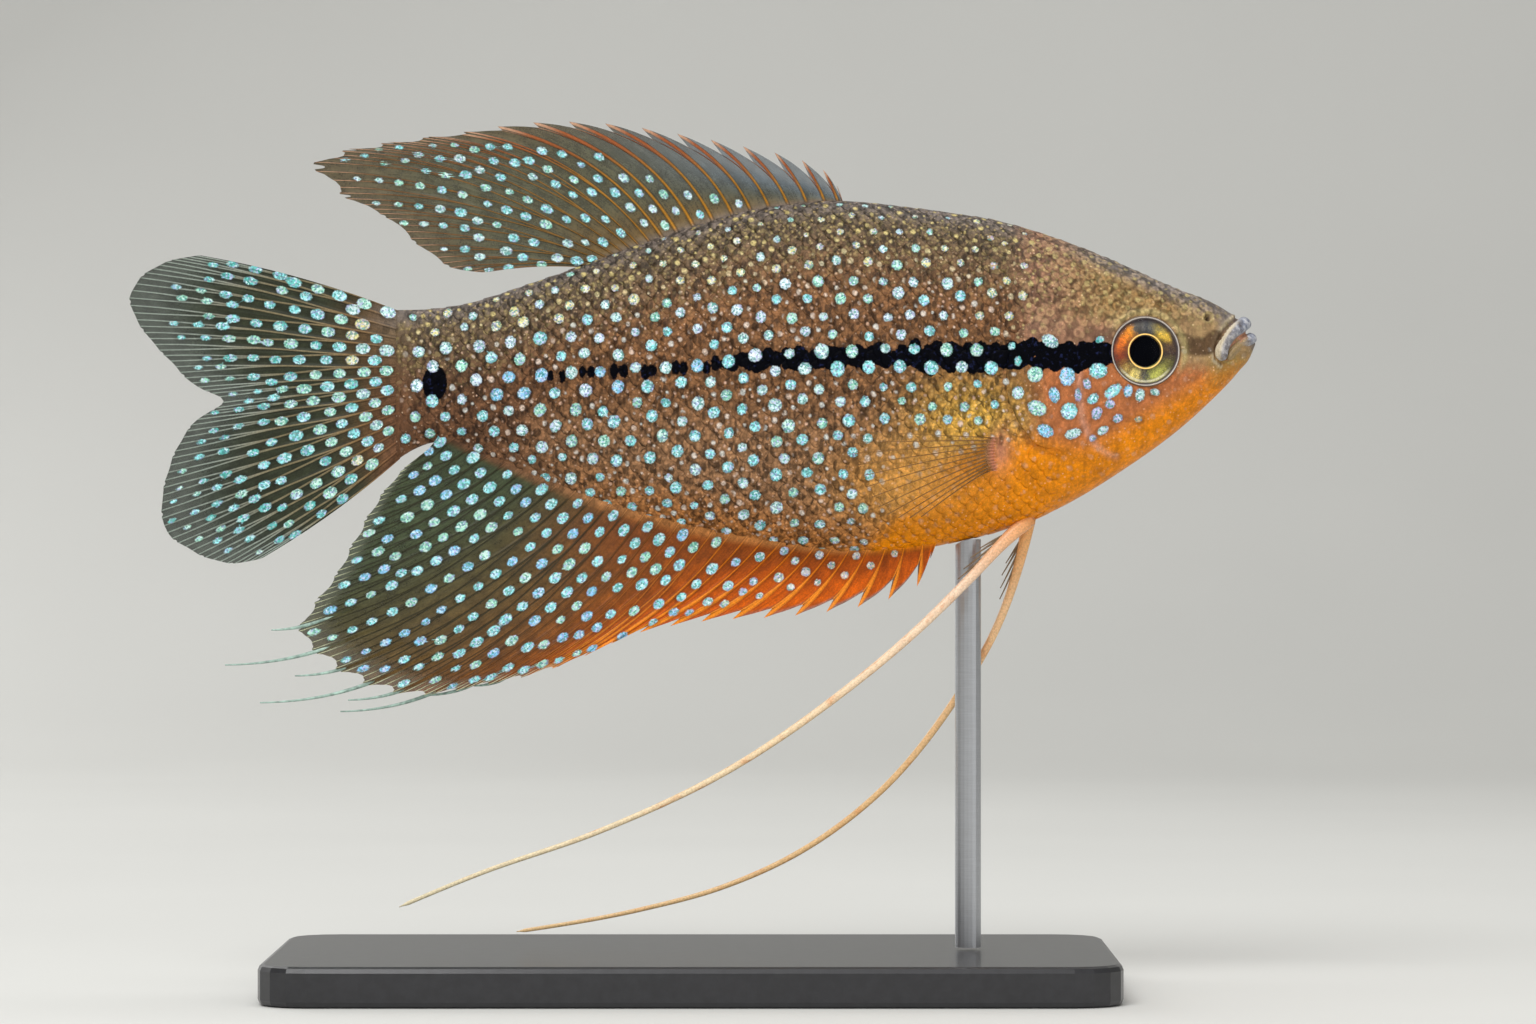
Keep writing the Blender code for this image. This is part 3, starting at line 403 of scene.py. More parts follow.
def line_distance(x, z, path):
    """Distance from each point to a path of straight pieces."""
    path = along(path, np.linspace(0, 1, 24))
    points = np.stack([x, z], axis=-1)
    best = np.full(np.shape(x), 1e9)
    for a, b in zip(path[:-1], path[1:]):
        ab = b - a
        t = np.clip(((points - a) @ ab) / (ab @ ab), 0, 1)
        best = np.minimum(best, np.linalg.norm(points - a - t[..., None] * ab, axis=-1))
    return best


# Markings.


def row_drift(u):
    """How far the rows of scales lie lower behind, where one row of pearls runs along the stripe."""
    return -0.7 * soft_step(-u, -10.0, 2.0)


def lattice(step_u, step_v, low_v, high_v):
    """A staggered lattice on the flank: arrays of u, v and the row number."""
    found = []
    first = math.floor((low_v - LATTICE_ORIGIN[1]) / step_v)
    for row in range(first, int((high_v - LATTICE_ORIGIN[1]) / step_v) + 1):
        v = LATTICE_ORIGIN[1] + row * step_v
        start = LATTICE_ORIGIN[0] + (row % 2) * step_u / 2
        for k in range(int((TAIL_END - start) / step_u) - 1, int((SNOUT_END - start) / step_u) + 1):
            u = start + k * step_u
            found.append((u, v + row_drift(u), row))
    return np.array(found)


def gill_edge_x(z):
    """Where the gill cover's free edge lies at height z."""
    return size_at(GILL_EDGE, z)


def height_of(u, v):
    """The height of a place on the flank."""
    return FLANK.place(u, v, LEFT)[0][..., 2]


def has_pearl(u, v, low, high):
    """Whether a pearl of the lattice goes here: on the flank, and not on the pad or the tail's spot."""
    if v < low + 0.9 or v > high - 0.8 or u < TAIL_END + 0.8 or u > 47.0:
        return False
    z = float(height_of(u, v))
    if 52.0 < z < 67.4 and u > float(gill_edge_x(z)) - 0.5:
        return False
    if z <= 55.6 and u > 18.5:
        return False
    in_spot = math.hypot((u - TAIL_SPOT[0]) / TAIL_SPOT[1], v / TAIL_SPOT[2]) < 0.7
    return not (in_spot or (u > 33.5 and v > 2.0))


def pearl_kind(u, v, row, up, belly):
    """A pearl's radius, and the four colours that its own one is drawn from."""
    rear = soft_step(-u, 4.0, 18.0)
    if row in STRIPE_ROWS:
        radius = 0.61
        names = ("white", "cyan", "pale", "blue") if u < 12.0 else ("cyan", "mint", "pale", "cyan")
    elif v > 0:
        radius = 0.52 - 0.2 * soft_step(up, 0.35, 0.95) - 0.1 * soft_step(u, 24.0, 40.0) + 0.08 * rear
        names = ("cyan", "pale", "white", "mint") if up < 0.45 else ("gold", "gold", "pale", "mint")
        if u > 27.0:
            names = ("gold", "gold", "tan", "mint")
    else:
        radius = 0.57 - 0.1 * soft_step(u, 8.0, 26.0) - 0.06 * belly + 0.05 * rear
        names = ("mint", "cyan", "cyan", "pale")
    return radius * (0.72 if u > 34.0 and v > 0 else 1.0), names


def flank_pearls(rng):
    """The pearls of one side: rows of (u, v, half length, half height, tilt, red, green, blue)."""
    rows = []
    for u, v, row in lattice(2 * SCALE_PITCH, 2 * SCALE_ROW, -26.0, 20.0):
        low, high = FLANK.extent(u)
        jitter = 0.12 if row in STRIPE_ROWS else 0.27
        u = u + rng.normal(0, jitter)
        v = v + rng.normal(0, jitter * 0.8)
        size, stretch = rng.normal(1.0, 0.08), rng.normal(1.05, 0.07)
        tone, drop = rng.random(), rng.random()
        up = v / high
        if not has_pearl(u, v, low, high) or drop < 0.02 + 0.1 * soft_step(up, 0.7, 1.0):
            continue
        belly = soft_step(low + 9.0 - v, 0.0, 6.0)
        radius, names = pearl_kind(u, v, row, up, belly)
        colour = PEARL_COLOURS[names[int(tone * 4)]] * rng.normal(1.0, 0.06)
        faint = 0.45 * belly * soft_step(u, 4.0, 20.0)
        colour = colour * (1 - faint) + PEARL_COLOURS["faint"] * faint
        rows.append((u, v, radius * size, radius * size * stretch, rng.normal(0, 0.3), *colour))
    for x, z, half_u, half_v, tilt, name in CHEEK_PEARLS:
        v = float(FLANK.v_of_height(np.array([x]), np.array([z]))[0])
        rows.append((x, v, half_u, half_v, math.radians(tilt), *PEARL_COLOURS[name]))
    return np.array(rows)


def stripe_blots(rng):
    """The round black blots that make up the stripe, in rows like those of flank_pearls."""
    x, half_length, half_height = TAIL_SPOT
    rows = [(x, 0.0, half_length, half_height)]
    for k in range(int((STRIPE_SOLID - STRIPE_REAR) / (2 * SCALE_PITCH)) + 2):
        # Between the pearls of the row that runs along the stripe.
        middle = LATTICE_ORIGIN[0] + SCALE_PITCH * (2 * k - 6)
        for aside in (-0.42, 0.42):
            u = middle + aside + rng.normal(0, 0.1)
            strong = 0.75 + 0.25 * soft_step(u, -14.0, -4.0)
            if STRIPE_REAR < u < STRIPE_SOLID:
                v = -0.1 + rng.normal(0, 0.16)
                rows.append((u, v, 0.46 * strong, (0.78 + 0.1 * rng.normal()) * strong))
    step_u, step_v = 0.72, 0.62
    for i in range(int((STRIPE_FRONT - STRIPE_SOLID) / step_u)):
        u = STRIPE_SOLID + i * step_u
        reach = float(size_at(STRIPE_HALF, u)) - 0.42
        for j in range(-3, 4):
            v = (j + 0.5 * (i % 2)) * step_v
            if abs(v) < reach + rng.normal(0, 0.2):
                size = 0.54 + 0.06 * rng.normal()
                rows.append((u + rng.normal(0, 0.08), v + rng.normal(0, 0.06), size, size * 1.1))
    # Blots have no tilt and no colour of their own.
    return np.pad(np.array(rows, float), ((0, 0), (0, 4)))


def spot_field(points, spots, floor=-1.0):
    """How deep each point lies inside the nearest spot's edge, and that spot's colour."""
    tree = kdtree.KDTree(len(spots))
    for k, spot in enumerate(spots):
        tree.insert((spot[0], spot[1], 0.0), k)
    tree.balance()
    near = np.array([[found[1] for found in tree.find_n((a, b, 0.0), 3)] for a, b in points])
    chosen = spots[near]
    off = points[:, None, :] - chosen[..., :2]
    cos, sin = np.cos(chosen[..., 4]), np.sin(chosen[..., 4])
    across = (off[..., 0] * cos + off[..., 1] * sin) / chosen[..., 2]
    up = (-off[..., 0] * sin + off[..., 1] * cos) / chosen[..., 3]
    inside = (1 - np.hypot(across, up)) * np.minimum(chosen[..., 2], chosen[..., 3])
    best = np.argmax(inside, axis=1)
    rows = np.arange(len(points))
    return np.maximum(inside[rows, best], floor), chosen[rows, best, 5:8]


BACK_TONE = srgb(104, 86, 64)
TOP_TONE = srgb(116, 106, 100)
FLANK_TONE = srgb(130, 90, 57)
LOW_FLANK_TONE = srgb(152, 112, 78)
BELLY_TONE = srgb(190, 120, 54)
AMBER_TONE = srgb(222, 156, 70)
THROAT_TONE = srgb(236, 140, 0)
GOLD_TONE = srgb(236, 184, 76)
CHEEK_TONE = srgb(192, 116, 68)
CROWN_TONE = srgb(138, 106, 64)
TEMPLE_TONE = srgb(150, 110, 86)
BROW_TONE = srgb(122, 112, 106)
SNOUT_TONE = srgb(162, 132, 92)
JAW_TONE = srgb(162, 130, 72)
STALK_TONE = srgb(108, 74, 50)
# Painted shade for creases and pits: under the gill cover's free edge, in the gill seam, the jaw fold and
# the nostril.
CREASE_SHADE_TONE = srgb(92, 52, 42)
CHEEK_LINE_TONE = srgb(214, 162, 140)
MOUTH_TONE = srgb(190, 138, 110)
MAXILLA_TONE = srgb(206, 190, 156)
BAND_TONE = srgb(84, 62, 42)
LID_TONE = srgb(178, 160, 108)
PAD_TONE = srgb(204, 136, 106)
# Painted shade in the fold at the pectoral fin's pad.
PAD_FOLD_SHADE_TONE = srgb(120, 68, 50)
# Painted shade in the nostril's pit.
NOSTRIL_SHADE_TONE = CREASE_SHADE_TONE * 0.3
# How far from the middle of the eye the fold over it lies.
LID_RADIUS = 3.95
EYE_TO_MOUTH = ((48.3, 64.8), (50.1, 64.25), (51.2, 64.35), (52.0, 65.0))
# The upper limit of the orange on the throat and belly: (x, z).
ORANGE_LIMIT = (
    (-30.0, 40.0), (2.0, 41.5), (12.0, 42.8), (17.5, 44.4), (20.5, 47.8), (25.0, 52.4), (30.0, 54.8),
    (34.0, 55.2), (39.0, 54.4), (43.0, 56.3), (47.0, 58.6), (51.0, 60.8), (56.2, 62.6),
)


def tone_for(places, red, green, blue):
    """One display colour at every place."""
    return np.broadcast_to(srgb(red, green, blue), (len(places), 3))


def blend_tones(base, *zones):
    """The base colours with the tone of each zone, (tone, share), laid over them in turn."""
    for tone, share in zones:
        base = base + (tone - base) * np.clip(share, 0, 1)[..., None]
    return base


def pad_distance(x, z):
    """Distance from the middle of the fleshy pad before the pectoral fin, which is half as long as high."""
    return np.hypot((x - PECTORAL_PAD[0]) / 0.5, z - PECTORAL_PAD[1])


def ground_colour(x, z):
    """The skin's colour between its markings, from smooth zones."""
    x, z = np.asarray(x, float), np.asarray(z, float)
    down = size_at(BACK_LINE, x) - z
    up = z - size_at(BELLY_LINE, x)
    # Painted shade: a dark line just behind the gill cover's free edge, where the lifted flap shades the
    # body.
    gill = bell(x - gill_edge_x(z) + 0.25, 0.3) * soft_step(z, 53.0, 55.5) * (1 - soft_step(z, 64.5, 66.5))
    nose = point_distance(x, z, NOSTRIL)
    band = 1 - soft_step(line_distance(x, z, EYE_TO_MOUTH), 0.7, 1.15)
    colour = blend_tones(
        np.broadcast_to(FLANK_TONE, (*x.shape, 3)),
        (LOW_FLANK_TONE, soft_step(62.0 - z, 1.0, 8.0)),
        (STALK_TONE, soft_step(-x, 8.0, 22.0)),
        (BELLY_TONE, 0.75 * soft_step(6.5 - up, 0.0, 6.0) * soft_step(x, -18.0, 0.0)),
        (BACK_TONE, 1 - soft_step(down, 1.5, 10.0)),
        (TOP_TONE, 0.8 * (1 - soft_step(down, 0.4, 2.4))),
        (AMBER_TONE, 0.95 * bell(x - 23.5, 7.0) * bell(z - 50.5, 4.2)),
        (GOLD_TONE, 0.92 * bell(x - 28.0, 5.5) * bell(z - 56.6, 3.8)),
        (CHEEK_TONE, soft_step(x, 32.0, 36.0) * soft_step(65.0 - z, 0.0, 3.0)),
        (TEMPLE_TONE, soft_step(x, 31.0, 34.0) * soft_step(z, 62.5, 65.0)),
        (CROWN_TONE, soft_step(x, 34.0, 42.0) * soft_step(z, 65.5, 68.0)),
        (SNOUT_TONE, soft_step(x, 47.0, 50.0) * soft_step(z, 61.2, 63.2)),
        (BROW_TONE, soft_step(x, 34.0, 42.0) * (1 - soft_step(down, 0.5, 2.4))),
        (BROW_TONE, 0.8 * soft_step(x, 51.6, 53.2) * soft_step(z, 65.2, 66.4)),
        (JAW_TONE, soft_step(x, 50.5, 52.5) * (1 - soft_step(z, 62.8, 64.0))),
        (THROAT_TONE, soft_step(size_at(ORANGE_LIMIT, x) - z, -1.6, 1.8)),
        (AMBER_TONE, 0.75 * bell(x - 22.0, 6.0) * bell(z - 50.8, 3.6)),
        # Painted shade under the gill cover's free edge.
        (CREASE_SHADE_TONE, 0.45 * gill),
        (CHEEK_LINE_TONE, 0.55 * bell(line_distance(x, z, PREOPERCLE), 0.32)),
        # Painted shade in the gill seam and the jaw fold.
        (CREASE_SHADE_TONE, 0.16 * bell(line_distance(x, z, GILL_SEAM), 0.25)),
        (CREASE_SHADE_TONE, 0.5 * bell(line_distance(x, z, JAW_FOLD), 0.2)),
        (MAXILLA_TONE, 0.8 * bell(line_distance(x, z, MAXILLA), 0.17)),
        (MOUTH_TONE, 1 - soft_step(line_distance(x, z, MOUTH_SLIT), 0.2, 0.45)),
        (LID_TONE, 0.8 * bell(nose - 0.48, 0.12)),
        # Painted shade in the nostril's pit.
        (NOSTRIL_SHADE_TONE, bell(nose, 0.26)),
        (PAD_TONE, 0.9 * bell(pad_distance(x, z), 2.1)),
        # Painted shade in the pad's fold.
        (PAD_FOLD_SHADE_TONE, 0.6 * bell(line_distance(x, z, PAD_FOLD), 0.34)),
        (BAND_TONE, 0.92 * band * (x > 46.0)),
    )
    # Painted light: the skin along the anal fin turns down and away from the light, so its colour is
    # lightened there to offset that shade.
    edge = (1 - soft_step(up, 0.2, 2.4)) * (1 - soft_step(x, 23.0, 27.0))
    colour = colour * (1 + 0.18 * edge)[..., None]
    over = soft_step(z - EYE[1] + 0.6 * (x - EYE[0]), -1.0, 2.0)
    lid = bell(point_distance(x, z, EYE) - LID_RADIUS, 0.34) * over
    return blend_tones(colour, (LID_TONE, 0.85 * lid))


def gilding(x, z):
    """Where gold grains lie thickest: the upper back and nape, and behind the gill cover."""
    down = size_at(BACK_LINE, x) - z
    nape = soft_step(-down, -11.0, -3.5) * soft_step(down, 0.2, 2.2)
    band = 1 - soft_step(line_distance(x, z, EYE_TO_MOUTH), 1.0, 2.0)
    return np.clip(nape + 0.8 * bell(x - 27.5, 6.0) * bell(z - 58.0, 4.0) - band, 0.0, 1.0)


def rosettes(x, z):
    """Where the head's skin has round knobs with paler rims."""
    front = soft_step(x, 31.5, 34.0) * (1 - soft_step(x, 51.0, 53.5))
    snout = 0.7 * soft_step(x, 47.5, 49.5) * (1 - soft_step(z, 66.2, 67.2))
    return front * soft_step(z, 64.2, 65.6) * (1 - snout)


def graininess(x, z):
    """How strongly the skin is grained: least on the face and throat, and at the tail fin's root."""
    calm = soft_step(x, 30.0, 37.0) * (1 - 0.45 * soft_step(z, 66.0, 68.5))
    throat = soft_step(size_at(ORANGE_LIMIT, x) - z, -1.6, 1.8)
    belly = 0.9 * bell(x - 24.0, 7.0) * bell(z - 50.0, 4.5)
    rear = 0.4 + 0.6 * soft_step(x, TAIL_END, -26.5)
    return (1 - 0.68 * np.maximum(np.maximum(calm, throat), belly)) * rear


PEARLS = {side: flank_pearls(np.random.default_rng(21 + side)) for side in (RIGHT, LEFT)}
BLOTS = {side: stripe_blots(np.random.default_rng(31 + side)) for side in (RIGHT, LEFT)}


def paint(mesh, u, v, z, side):
    """Write the markings' attributes for every vertex. side is one value or one for each vertex."""
    side = np.broadcast_to(side, np.shape(u))
    pearl, stripe = np.full(len(u), -1.0), np.full(len(u), -1.0)
    pearl_tint = np.ones((len(u), 3))
    for one in (RIGHT, LEFT):
        here = side == one
        if not here.any():
            continue
        points = np.stack([u[here], v[here]], axis=1)
        pearl[here], pearl_tint[here] = spot_field(points, PEARLS[one])
        stripe[here] = spot_field(points, BLOTS[one])[0]
    _, high = FLANK.extent(u)
    crown = soft_step(u, 30.0, 33.0) * soft_step(v, 0.0, 1.5)
    nape = np.maximum(soft_step(v / high, 0.3, 0.75), crown)
    add_numbers(
        mesh, pearl=pearl, stripe=stripe, nape=nape, gild=gilding(u, z), grain=graininess(u, z),
        rosette=rosettes(u, z),
    )
    # Turned a little, so that the specks' columns don't stand upright.
    across, over = 0.87 * u + 0.5 * v, 0.87 * v - 0.5 * u
    add_vector(mesh, "flank", np.stack([across, over + 80.0 * (side == LEFT), 0.0 * u], axis=-1))
    add_colours(mesh, pearl_tint=pearl_tint, ground=ground_colour(u, z))


# Meshes.


def add_values(mesh, name, kind, field, values):
    """One attribute of a mesh, with a value for each vertex."""
    attribute = mesh.attributes.new(name, kind, "POINT")
    attribute.data.foreach_set(field, np.asarray(values, np.float32).ravel())


def add_numbers(mesh, **numbers):
    for name, values in numbers.items():
        add_values(mesh, name, "FLOAT", "value", values)


def add_vector(mesh, name, values):
    add_values(mesh, name, "FLOAT_VECTOR", "vector", values)


def add_colours(mesh, **colours):
    for name, values in colours.items():
        values = np.concatenate([np.asarray(values, float), np.ones((len(values), 1))], axis=1)
        add_values(mesh, name, "FLOAT_COLOR", "color", values)


def piece(name, points, faces, look, slot):
    """A mesh piece from points in millimetres, riding on the model's one body."""
    mesh = bpy.data.meshes.new(name)
    mesh.from_pydata((np.asarray(points, float) * MM).tolist(), [], [tuple(face) for face in faces])
    mesh.update()
    mesh.shade_smooth()
    mesh.materials.append(look)
    made = bpy.data.objects.new(name, mesh)
    bpy.context.scene.collection.objects.link(made)
    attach(made, "root")
    return made


def bake_map(mesh, u, v):
    """The UV map OFBake, from one place for each vertex."""
    layer = mesh.uv_layers.new(name="OFBake")
    corners = np.empty(len(mesh.loops), np.int32)
    mesh.loops.foreach_get("vertex_index", corners)
    layer.data.foreach_set("uv", np.stack([u[corners], v[corners]], axis=1).astype(np.float32).ravel())


def grid_faces(rows, columns, start=0, closed=False, turned=False):
    """Quads of a grid of points that is stored row by row."""
    i, j = np.meshgrid(np.arange(rows - 1), np.arange(columns if closed else columns - 1), indexing="ij")
    k = (j + 1) % columns
    here, there = i * columns, (i + 1) * columns
    quads = np.stack([here + j, here + k, there + k, there + j], axis=-1).reshape(-1, 4) + start
    return quads[:, ::-1] if turned else quads


def grid_normals(points):
    """Outward normals of a grid of points, closed rings in rows along the body."""
    round_about = (np.roll(points, -1, axis=1) - np.roll(points, 1, axis=1)) / 2
    return unit(np.cross(np.gradient(points, axis=0), round_about))


def joined_tubes(grids):
    """The points and faces of several tubes as one mesh."""
    faces, start = [], 0
    for grid in grids:
        count, sides = grid.shape[:2]
        faces += tube_faces(count, sides, start)
        start += count * sides
    return np.concatenate([grid.reshape(-1, 3) for grid in grids]), faces


def tube_faces(count, sides, start=0):
    """The faces of a tube of count rings, with both ends closed."""
    last = start + (count - 1) * sides
    return [
        *grid_faces(count, sides, start=start, closed=True).tolist(),
        list(range(start, start + sides))[::-1], list(range(last, last + sides)),
    ]


# Materials.


class Look:
    """One material's nodes, made by short calls."""

    def __init__(self, name):
        self.material = bpy.data.materials.new(name)
        self.material.use_nodes = True
        self.tree = self.material.node_tree
        self.shader = self.tree.nodes["Principled BSDF"]
        self.place = self.scaled(self.node("TexCoord").outputs["Object"], 1 / MM)

    def put(self, value, socket):
        if isinstance(value, bpy.types.NodeSocket):
            self.tree.links.new(value, socket)
        elif hasattr(value, "__len__") and len(value) == 3 and socket.type == "RGBA":
            socket.default_value = (*[float(part) for part in value], 1.0)
        else:
            socket.default_value = value

    def node(self, kind, *values, **settings):
        """A new node with its settings, and with values for its first inputs."""
        node = self.tree.nodes.new("ShaderNode" + kind)
        for name, setting in settings.items():
            setattr(node, name, setting)
        for value, socket in zip(values, node.inputs):
            self.put(value, socket)
        return node

    def math(self, operation, *values):
        return self.node("Math", *values, operation=operation).outputs[0]

    def add(self, a, b):
        return self.math("ADD", a, b)

    def minus(self, a, b):
        return self.math("SUBTRACT", a, b)

    def times(self, a, b):
        return self.math("MULTIPLY", a, b)

    def absolute(self, value):
        return self.math("ABSOLUTE", value)

    def centred(self, noise, depth):
        """Noise about nothing, depth from its least to its most."""
        return self.times(self.add(noise, -0.5), depth)

    def mix(self, share, a, b):
        node = self.node("Mix", share, data_type="RGBA")
        self.put(a, node.inputs[6])
        self.put(b, node.inputs[7])
        return node.outputs[2]

    def number(self, name):
        return self.node("Attribute", attribute_name=name).outputs["Fac"]

    def colour(self, name):
        return self.node("Attribute", attribute_name=name).outputs["Color"]

    def vector(self, name):
        return self.node("Attribute", attribute_name=name).outputs["Vector"]

    def parts(self, vector):
        return self.node("SeparateXYZ", vector).outputs[:3]

    def noise(self, scale, detail=3.0, roughness=0.55, vector=None):
        node = self.node("TexNoise", self.place if vector is None else vector)
        for name, value in (("Scale", scale), ("Detail", detail), ("Roughness", roughness)):
            node.inputs[name].default_value = value
        return node.outputs["Fac"]

    def cells(self, scale, vector=None, scatter=1.0, **settings):
        """Random cells: the distance from each cell's middle, and three numbers that differ by cell."""
        node = self.node("TexVoronoi", self.place if vector is None else vector, **settings)
        node.inputs["Scale"].default_value = scale
        node.inputs["Randomness"].default_value = scatter
        return [node.outputs["Distance"], *self.node("SeparateColor", node.outputs["Color"]).outputs[:3]]

    def blotches(self):
        """Large cells that are taller than long."""
        return self.cells(1.5, self.stretched(self.place, (1.5, 1.5, 0.75)))

    def dots(self, pitch, scatter, tall):
        """Dots on the flank: the distance from each dot's middle in millimetres, and three numbers."""
        flank = self.stretched(self.vector("flank"), (1.0, 1 / tall, 1.0))
        distance, *numbers = self.cells(1 / pitch, flank, scatter, voronoi_dimensions="2D")
        return [self.times(distance, pitch), *numbers]

    def between(self, value, low, high, start=0.0, end=1.0):
        """Smoothly from start to end, while the value goes from low to high."""
        settings = {"interpolation_type": "SMOOTHSTEP"}
        return self.node("MapRange", value, low, high, start, end, **settings).outputs[0]

    def ramp(self, value, stops):
        """A colour by value. Each stop is its place and its display colour."""
        node = self.node("ValToRGB", value)
        elements = node.color_ramp.elements
        while len(elements) < len(stops):
            elements.new(0.5)
        for element, (place, *tone) in zip(elements, stops):
            element.position = place
            element.color = (*[float(part) for part in srgb(*tone)], 1.0)
        return node.outputs["Color"]

    def stretched(self, vector, scale):
        return self.node("VectorMath", vector, scale, operation="MULTIPLY").outputs[0]

    def scaled(self, value, factor):
        """A colour or a vector times a number."""
        node = self.node("VectorMath", value, operation="SCALE")
        self.put(factor, node.inputs["Scale"])
        return node.outputs[0]

    def varied(self, colour, by, start, end, low=0.25, high=0.75):
        """A colour times a number that goes from start to end, while by goes from low to high."""
        return self.scaled(colour, self.between(by, low, high, start, end))

    def shaded(self, colour, share, factor):
        """A colour with a share of the same colour times a factor."""
        return self.mix(share, colour, self.scaled(colour, factor))

    def bump(self, height, distance):
        node = self.node("Bump")
        node.inputs["Strength"].default_value = 1.0
        node.inputs["Distance"].default_value = distance * MM
        self.put(height, node.inputs["Height"])
        return node.outputs[0]

    def finish(self, **sockets):
        for name, value in sockets.items():
            self.put(value, self.shader.inputs[name.replace("_", " ")])
        return self.material


# Specks between the pearls: pitch, scatter, least and most radius, share left out, colour on the
# flank and colour on the nape.
SPECKS = (
    (0.78, 0.55, 0.07, 0.16, 0.55, srgb(200, 164, 142), srgb(160, 138, 92)),
    (1.2, 0.5, 0.12, 0.29, 0.32, srgb(206, 212, 208), srgb(200, 182, 120)),
)


# How fine the glitter in the pearls is, in cells for each millimetre.
FLECK_CELLS = 5.6


def foil(look, tint, flecks):
    """The broken glitter inside a pearl, round its own colour. flecks are fine cells."""
    _, one, two, three = flecks
    for number, low, high, most, tone in (
        (one, 0.5, 0.64, 0.55, srgb(236, 246, 250)),
        (two, 0.64, 0.72, 0.6, srgb(84, 196, 184)),
        (three, 0.76, 0.82, 0.55, srgb(176, 166, 232)),
    ):
        tint = look.mix(look.times(look.between(number, low, high), most), tint, tone)
    return look.varied(tint, two, 1.12, 0.58, 0.0, 1.0)


def skin_ground(look, plates, fine, grained, knob, knob_tone):
    """The skin's ground with its grains, blotches, scale rims and the knobs of the head."""
    away, one, two, three = look.cells(3.1)
    ground = look.varied(look.colour("ground"), look.noise(0.5, 3.0, 0.6), 0.84, 1.14)
    grains = look.between(one, 0.0, 1.0, 0.76, 1.38)
    grains = look.times(grains, look.between(away, 0.2, 0.75, 1.12, 0.74))
    grains = look.add(1.0, look.times(look.add(grains, -1.0), grained))
    ground = look.varied(look.scaled(ground, grains), fine, 0.82, 1.2)
    gilt = look.times(look.between(two, 0.66, 0.82), look.times(look.number("gild"), 0.5))
    ground = look.mix(gilt, ground, look.varied(srgb(204, 180, 118), away, 1.1, 0.5, 0.0, 0.55))
    glint = look.times(look.between(three, 0.82, 0.92), look.between(away, 0.1, 0.35, 0.5, 0.0))
    ground = look.mix(glint, ground, srgb(246, 214, 180))
    middle, chance, *_ = look.blotches()
    more = look.times(look.number("rim"), 0.36) if plates else 0.12
    dark = look.between(look.add(chance, more), 0.46, 0.72)
    dark = look.times(dark, look.between(middle, 0.36, 0.74, 1.0, 0.2))
    ground = look.shaded(ground, look.times(look.times(dark, grained), 0.86), 0.27)
    if plates:
        edge = look.add(look.number("rim"), look.centred(look.noise(2.0, 2.0), 0.5))
        edge = look.times(look.between(edge, 0.35, 1.0), look.times(look.add(0.25, grained), 0.28))
        ground = look.shaded(ground, edge, 0.4)
    rosette = look.number("rosette")
    ring = look.absolute(look.add(knob, look.add(-0.4, look.centred(fine, 0.5))))
    ring = look.times(look.between(ring, 0.0, 0.24, 1.0, 0.0), 0.6)
    pale = look.mix(look.times(knob_tone, 0.5), look.scaled(ground, 1.66), srgb(212, 180, 128))
    ground = look.mix(look.times(rosette, ring), ground, pale)
    hollow = look.times(rosette, look.times(look.between(knob, 0.5, 0.66), 0.7))
    return look.shaded(ground, hollow, 0.55)


def fish_skin(name, plates):
    """The body's look: ground, stripe, specks and pearls. plates is True for the scales' own edges."""
    look = Look(name)
    fine = look.noise(13.0, 2.0, 0.6)
    grained = look.number("grain")
    knob, _, knob_tone, _ = look.cells(1.15)
    ground = skin_ground(look, plates, fine, grained, knob, knob_tone)
    lobes = look.centred(look.noise(3.0, 2.0), 0.3)
    stripe = look.between(look.add(look.number("stripe"), lobes), -0.06, 0.05)
    glow = look.varied(srgb(26, 32, 64), look.noise(2.4, 2.0), 0.04, 1.3, 0.56, 0.8)
    body = look.mix(stripe, ground, glow)
    ragged = look.centred(look.noise(3.6, 3.0, 0.7), 0.42)
    nape = look.number("nape")
    flecks = look.cells(FLECK_CELLS)
    glitter = look.between(flecks[1], 0.0, 1.0, 0.62, 1.3)
    clear = look.between(look.number("pearl"), -0.62, -0.22, 1.0, 0.0)
    clear = look.times(clear, look.between(look.number("stripe"), -0.4, -0.12, 1.0, 0.0))
    clear = look.times(clear, look.between(grained, 0.4, 0.9, 0.15, 1.0))
    for pitch, scatter, least, most, left_out, pale, warm in SPECKS:
        off, size, chance, tone = look.dots(pitch, scatter, 1.15)
        edge = look.add(look.between(size, 0.0, 1.0, least, most), look.times(ragged, 0.5))
        edge = look.add(edge, look.times(off, -1.0))
        chance = look.add(chance, look.times(nape, 0.18))
        there = look.times(look.between(chance, left_out - 0.02, left_out + 0.02), clear)
        there = look.times(there, 0.92)
        tint = look.mix(nape, look.mix(look.times(tone, 0.7), pale, srgb(222, 180, 150)), warm)
        halo = look.times(there, look.times(look.between(edge, -0.22, 0.0), 0.35))
        body = look.shaded(body, halo, 0.42)
        speck = look.times(there, look.between(edge, -0.08, 0.12))
        body = look.mix(speck, body, look.scaled(tint, glitter))
    edge = look.add(look.number("pearl"), look.times(ragged, 0.8))
    body = look.shaded(body, look.times(look.between(edge, -0.34, 0.0), 0.5), 0.34)
    pearl = look.between(edge, -0.05, 0.08)
    shine = foil(look, look.colour("pearl_tint"), flecks)
    body = look.mix(pearl, body, look.varied(shine, edge, 0.8, 1.14, 0.0, 0.32))
    raised = look.between(look.number("pearl"), -0.05, 0.08)
    height = look.add(look.times(fine, 0.6), look.times(raised, 0.35))
    height = look.add(height, look.times(look.times(knob, look.number("rosette")), -0.9))
    return look.finish(
        Base_Color=body, Roughness=look.mix(pearl, (0.4, 0.4, 0.4), (0.24, 0.24, 0.24)),
        Normal=look.bump(height, 0.07), Specular_IOR_Level=look.between(stripe, 0.0, 1.0, 0.17, 0.05),
    )


